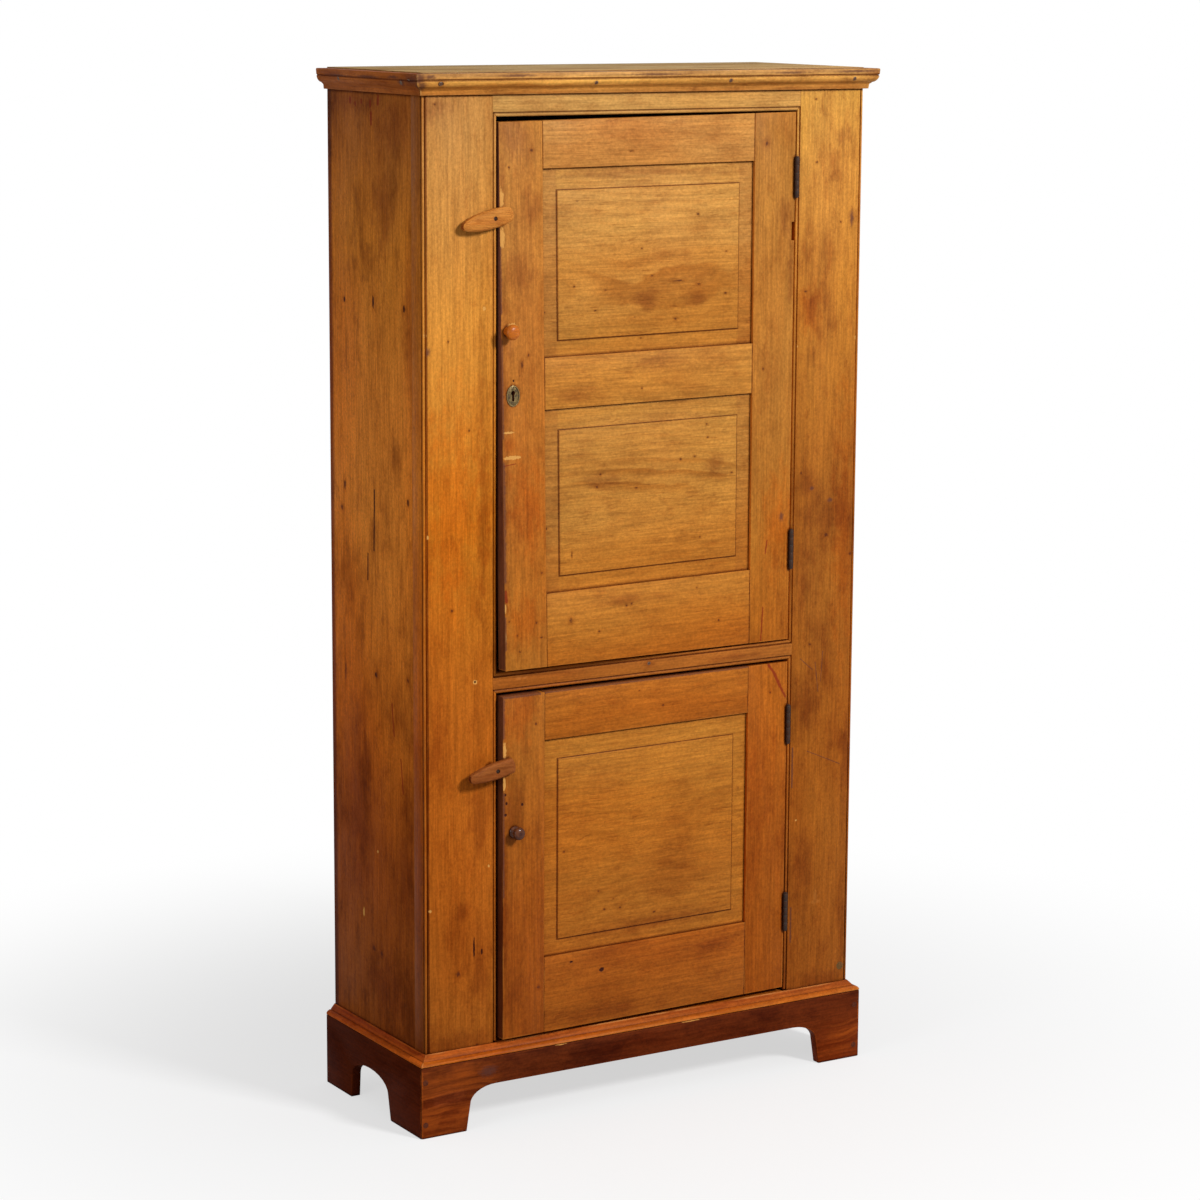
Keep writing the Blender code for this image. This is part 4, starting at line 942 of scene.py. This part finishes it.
# Dirt in the joints between stiles and rails, and dull borders of the upper door's panels
for door, rails in (("upper_door_", ("bottom", "lock", "top")), ("lower_door_", ("bottom", "top"))):
    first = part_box(door + "latch_stile")[1][0]
    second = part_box(door + "hinge_stile")[0][0]
    for word in rails:
        name = door + word + "_rail"
        marks.setdefault(name, {})["seam"] = upright_strokes(name, first, second)
for name in ("back_board_1", "back_board_2", "back_board_3"):
    low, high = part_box(name)
    marks[name] = {"seam": upright_strokes(name, low[0], high[0])}
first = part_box("upper_door_latch_stile")[1][0] + border_width / 2
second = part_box("upper_door_hinge_stile")[0][0] - border_width / 2
for name in ("upper_door_panel_1", "upper_door_panel_2"):
    marks[name]["dim"] = upright_strokes(name, first, second, border_width / 2)

# Steps that modifiers take: joining corners that lie together, and smooth shading of curved faces
corner_welds = bpy.data.node_groups.new("join_corners", "GeometryNodeTree")
curve_shading = bpy.data.node_groups.new("smooth_curves", "GeometryNodeTree")
for group in (corner_welds, curve_shading):
    group.interface.new_socket("Geometry", in_out="INPUT", socket_type="NodeSocketGeometry")
    group.interface.new_socket("Geometry", in_out="OUTPUT", socket_type="NodeSocketGeometry")


def chain(group, steps):
    """Joins the steps, each a node, one after another from the group's input to its output."""
    last = group.nodes.new("NodeGroupInput").outputs[0]
    for step in steps:
        group.links.new(last, step.inputs[0])
        last = step.outputs[0]
    group.links.new(last, group.nodes.new("NodeGroupOutput").inputs[0])


welds = Graph(corner_welds)
chain(corner_welds, [
    welds.add("GeometryNodeRemoveAttribute", {"Name": "custom_normal"}),
    welds.add("GeometryNodeMergeByDistance", {"Distance": weld_distance}),
])

shading = Graph(curve_shading)
edge_angle = shading.add("GeometryNodeInputMeshEdgeAngle").outputs["Unsigned Angle"]
angles = {0: edge_angle, 1: smooth_below}
steep = shading.add("FunctionNodeCompare", angles, data_type="FLOAT", operation="GREATER_THAN")
sharpened = {"Selection": steep.outputs["Result"], "Shade Smooth": False}
chain(curve_shading, [
    shading.add("GeometryNodeSetShadeSmooth", domain="FACE"),
    shading.add("GeometryNodeSetShadeSmooth", sharpened, domain="EDGE"),
])


def soften(piece, width):
    """Rounds the edges of a CAD piece by modifiers, so that its mesh stays as it was."""
    piece.modifiers.new("join_corners", "NODES").node_group = corner_welds
    flatten = piece.modifiers.new("merge_flats", "DECIMATE")
    flatten.decimate_type = "DISSOLVE"
    flatten.angle_limit = flat_within
    bevel = piece.modifiers.new("round_edges", "BEVEL")
    bevel.width = width
    bevel.segments = bevel_steps
    bevel.limit_method = "ANGLE"
    bevel.angle_limit = bevel_from
    piece.modifiers.new("smooth_curves", "NODES").node_group = curve_shading


def by_word(table, name, otherwise):
    """The value of the longest word of a table that is in the name."""
    found = [word for word in table if word in name]
    return table[max(found, key=len)] if found else otherwise


for index, name in enumerate(sorted(nodes)):
    piece = nodes[name]
    soften(piece, by_word(round_widths, name, plain_round))
    surface = by_word(surfaces, name, None)
    if surface is None:
        along = by_word(grains, name, "X")
        low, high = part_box(name)
        face_axes = (1, 2) if along == "Y" or name in ("side_left", "side_right") else (0, 2)
        outward = 1 if name.endswith("_right") and face_axes[0] == 1 or "back_board" in name else -1
        surface = wood(
            name + "_finish", along, by_word(finishes, name, rail), (low + high) / 2, index + 1,
            marks.get(name, {}), face_axes, outward,
        )
    piece.data.materials.clear()
    piece.data.materials.append(surface)


# Small fittings
def seat(name, start, direction):
    """Where a ray first meets a CAD piece: the point, and the way the surface faces there."""
    mesh = nodes[name].data
    corners = [vertex.co for vertex in mesh.vertices]
    faces = [tuple(face.vertices) for face in mesh.polygons]
    point, normal, face, reach = BVHTree.FromPolygons(corners, faces).ray_cast(start, direction)
    if point is None:
        raise ValueError("nothing to seat a fitting on at " + name)
    return point, normal


def skin(made, rings, capped=True):
    """Joins closed rings of corners, each to the next, by faces."""
    for lower, upper in zip(rings, rings[1:]):
        for step in range(len(lower)):
            after = (step + 1) % len(lower)
            made.faces.new((lower[step], lower[after], upper[after], upper[step]))
    if capped:
        made.faces.new(rings[-1])
        made.faces.new(reversed(rings[0]))


def standing(spot):
    """The place of a head that stands on a surface."""
    point, normal = spot
    return Matrix.Translation(point) @ normal.to_track_quat("Z", "Y").to_matrix().to_4x4()


def headed(made, spot, radius, rise, shares):
    """Adds a turned head: shares are of its radius and of its rise, from the rim inwards."""
    place = standing(spot)
    profile = [(radius * across, rise * up) for across, up in shares]
    rings = []
    for across, up in [(radius, -nail_sink)] + profile:
        ring = []
        for step in range(head_sides):
            angle = 2 * math.pi * step / head_sides
            corner = Vector((across * math.cos(angle), across * math.sin(angle), up))
            ring.append(made.verts.new(place @ corner))
        rings.append(ring)
    skin(made, rings)


def nail_head(made, spot, radius=nail_radius, rise=nail_rise):
    headed(made, spot, radius, rise, nail_head_shares)


def plug_head(made, spot, radius):
    headed(made, spot, radius, plug_rise, plug_head_shares)


def screw_head(made, spot, radius, rise):
    """A slotted head: a sunk disc with two cheeks on it."""
    headed(made, spot, radius, rise, screw_edge_shares)
    place = standing(spot)
    widest = math.acos(slot_half_share)
    for side in (-1, 1):
        rings = []
        for share, up in cheek_shares:
            ring = []
            for step in range(head_sides // 2 + 1):
                angle = widest * (4 * step / head_sides - 1)
                spread = share if abs(angle) < widest * 0.99 else share * 0.99
                across = max(math.cos(angle) * spread, slot_half_share) * radius * side
                corner = Vector((across, math.sin(angle) * spread * radius, up * rise))
                ring.append(made.verts.new(place @ corner))
            rings.append(ring if side > 0 else ring[::-1])
        skin(made, rings)


def fitting(name, body, surface, made):
    """Turns a bmesh into a piece that rides on a body."""
    bmesh.ops.recalc_face_normals(made, faces=made.faces)
    mesh = bpy.data.meshes.new(name)
    made.to_mesh(mesh)
    made.free()
    for face in mesh.polygons:
        face.use_smooth = True
    piece = bpy.data.objects.new(name, mesh)
    bpy.context.scene.collection.objects.link(piece)
    piece.data.materials.append(surface)
    piece.modifiers.new("smooth_curves", "NODES").node_group = curve_shading
    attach(piece, body)


front_start = cad_low[1] - cast_start
left_start = cad_low[0] - cast_start
back_start = cad_high[1] + cast_start
backward = Vector((0, 1, 0))
rightward = Vector((1, 0, 0))


def front_spot(name, x, z):
    """Where a fitting stands on the front of a piece."""
    return seat(name, Vector((x, front_start, z)), backward)


cornice_nails = bmesh.new()
for x, z in cornice_nail_places:
    nail_head(cornice_nails, front_spot("cornice_front", x, z))
for y, z in return_nail_places:
    nail_head(cornice_nails, seat("cornice_left", Vector((left_start, y, z)), rightward))
    nail_head(cornice_nails, seat("cornice_right", Vector((-left_start, y, z)), -rightward))
fitting("cornice_nails", "cabinet", nail_iron, cornice_nails)

front_fittings = [
    ("rail_nail", "middle_rail", nail_iron, nail_head, rail_nail_radius, rail_nail_places),
    ("base_plugs", "base_front", brown_plug, plug_head, plug_radius, base_plug_places),
    ("stile_plug", "stile_right", olive_plug, plug_head, stile_plug_radius, stile_plug_places),
]
for name, under, surface, head, radius, places in front_fittings:
    made = bmesh.new()
    for x, z in places:
        head(made, front_spot(under, x, z), radius)
    fitting(name, "cabinet", surface, made)

back_nails = bmesh.new()
for board in ("back_board_1", "back_board_2", "back_board_3"):
    board_low, board_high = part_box(board)
    for shelf in ("top_board", "upper_shelf_2", "middle_shelf", "lower_shelf", "bottom_board"):
        shelf_low, shelf_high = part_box(shelf)
        height = min((shelf_low[2] + shelf_high[2]) / 2, board_high[2] - back_nail_inset / 3)
        for x in (board_low[0] + back_nail_inset, board_high[0] - back_nail_inset):
            spot = seat(board, Vector((x, back_start, height)), -backward)
            nail_head(back_nails, spot, back_nail_radius)
fitting("back_nails", "cabinet", nail_iron, back_nails)

for door in ("upper", "lower"):
    for number in ("1", "2"):
        hinge = door + "_hinge_" + number
        for leaf, body, side in (("_frame_leaf", "cabinet", 1), ("_door_leaf", door + "_door", -1)):
            low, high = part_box(hinge + leaf)
            middle = (low[2] + high[2]) / 2
            plate_y = high[1] - (high[1] - low[1]) / 3
            screws = bmesh.new()
            for step in (-1, 0, 1):
                y = plate_y + (leaf_screw_shift if step == 0 else -leaf_screw_shift)
                start = Vector((low[0] - cast_start, y, middle + leaf_screw_spread * step))
                if side < 0:
                    start.x = high[0] + cast_start
                spot = seat(hinge + leaf, start, rightward * side)
                screw_head(screws, spot, leaf_screw_radius, leaf_screw_rise)
            fitting(hinge + leaf + "_screws", body, iron, screws)

case_low, case_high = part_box("lock_case")
case_screws = bmesh.new()
for x in (case_low[0] + case_screw_inset, case_high[0] - case_screw_inset):
    for z in (case_low[2] + case_screw_inset, case_high[2] - case_screw_inset):
        spot = seat("lock_case", Vector((x, case_high[1] + cast_start, z)), -backward)
        screw_head(case_screws, spot, case_screw_radius, case_screw_rise)
fitting("lock_case_screws", "upper_door", nail_iron, case_screws)

plate_low, plate_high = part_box("keyhole_plate")
plate_middle = (plate_low + plate_high) / 2
plate_pins = bmesh.new()
for x in (plate_low[0] + plate_pin_inset, plate_high[0] - plate_pin_inset):
    nail_head(plate_pins, front_spot("keyhole_plate", x, plate_middle[2]), plate_pin_radius, plate_pin_rise)
fitting("keyhole_plate_pins", "upper_door", iron, plate_pins)

plate_rim = bmesh.new()
rim_x = plate_middle[0] - plate_low[0] - plate_rim_inset
rim_z = plate_middle[2] - plate_low[2] - plate_rim_inset
hoops = []
for step in range(plate_rim_steps):
    angle = 2 * math.pi * step / plate_rim_steps
    outward = Vector((math.cos(angle), 0, math.sin(angle)))
    centre = Vector((plate_middle[0] + rim_x * outward.x, plate_low[1], plate_middle[2] + rim_z * outward.z))
    hoop = []
    for side in range(plate_rim_sides):
        turn = 2 * math.pi * side / plate_rim_sides
        offset = outward * math.cos(turn) - backward * math.sin(turn)
        hoop.append(plate_rim.verts.new(centre + offset * plate_rim_radius))
    hoops.append(hoop)
skin(plate_rim, hoops + hoops[:1], capped=False)
fitting("keyhole_plate_rim", "upper_door", plate_brass, plate_rim)

# Floor
bpy.ops.mesh.primitive_circle_add(vertices=floor_sides, radius=floor_radius, fill_type="NGON")
floor = bpy.context.object
floor.name = "floor"
floor_graph = Surface("floor_finish")
floor_graph.set("Roughness", 0.9)
floor_graph.set("Specular IOR Level", 0)
seen = floor_graph.looked_at()
grit = floor_graph.noise(floor_graph.place, (40,) * 3, 3.0)
pale = floor_graph.mix(floor_graph.fade(grit, 0.3, 0.7, 0.0, 0.02), floor_colour, floor_grit)
floor_graph.set("Base Color", floor_graph.mix(seen, floor_bounce, pale))
away = floor_graph.vector("LENGTH", floor_graph.place)
whiteness = floor_graph.fade(away, floor_fade_start, floor_fade_end, floor_glow, 1.0)
blend = floor_graph.add("ShaderNodeMixShader", {
    "Fac": floor_graph.times(whiteness, seen),
    1: floor_graph.shader.outputs["BSDF"],
    2: floor_graph.add("ShaderNodeEmission").outputs["Emission"],
})
floor_graph.join(floor_graph.output.inputs["Surface"], blend.outputs["Shader"])
floor.data.materials.append(floor_graph.material)
floor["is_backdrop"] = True

# World: a plain pale sky, white where it is looked at
world = bpy.data.worlds.new("studio")
world.use_nodes = True
bpy.context.scene.world = world
sky = world.node_tree.nodes["Background"]
sky.inputs["Color"].default_value = rgb(1, 1, 1)
sky_graph = Graph(world.node_tree)
sky_graph.join(sky.inputs["Strength"], sky_graph.fade(sky_graph.looked_at(), 0, 1, sky_strength, 1))


def softbox(name, place, aim, size, power):
    """A square area lamp that faces a point."""
    lamp = bpy.data.lights.new(name, "AREA")
    lamp.size = size
    lamp.energy = power
    holder = bpy.data.objects.new(name, lamp)
    holder.location = place
    holder.rotation_euler = (aim - place).to_track_quat("-Z", "Y").to_euler()
    holder.visible_camera = False
    bpy.context.scene.collection.objects.link(holder)


softbox("key_light", key_place, key_aim, key_size, key_power)
softbox("fill_light", fill_place, fill_aim, fill_size, fill_power)

# Camera
heading = Matrix.Rotation(-camera_azimuth, 4, "Z")
tilt = Matrix.Rotation(math.pi / 2 - camera_pitch, 4, "X")
roll = Matrix.Rotation(camera_roll, 4, "Z")
camera_data = bpy.data.cameras.new("camera")
camera_data.lens = camera_lens
camera_data.sensor_width = camera_sensor
camera = bpy.data.objects.new("camera", camera_data)
camera.matrix_world = Matrix.Translation(camera_place) @ heading @ tilt @ roll
bpy.context.scene.collection.objects.link(camera)
bpy.context.scene.camera = camera
bpy.context.scene.view_settings.view_transform = "Standard"

low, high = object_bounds()
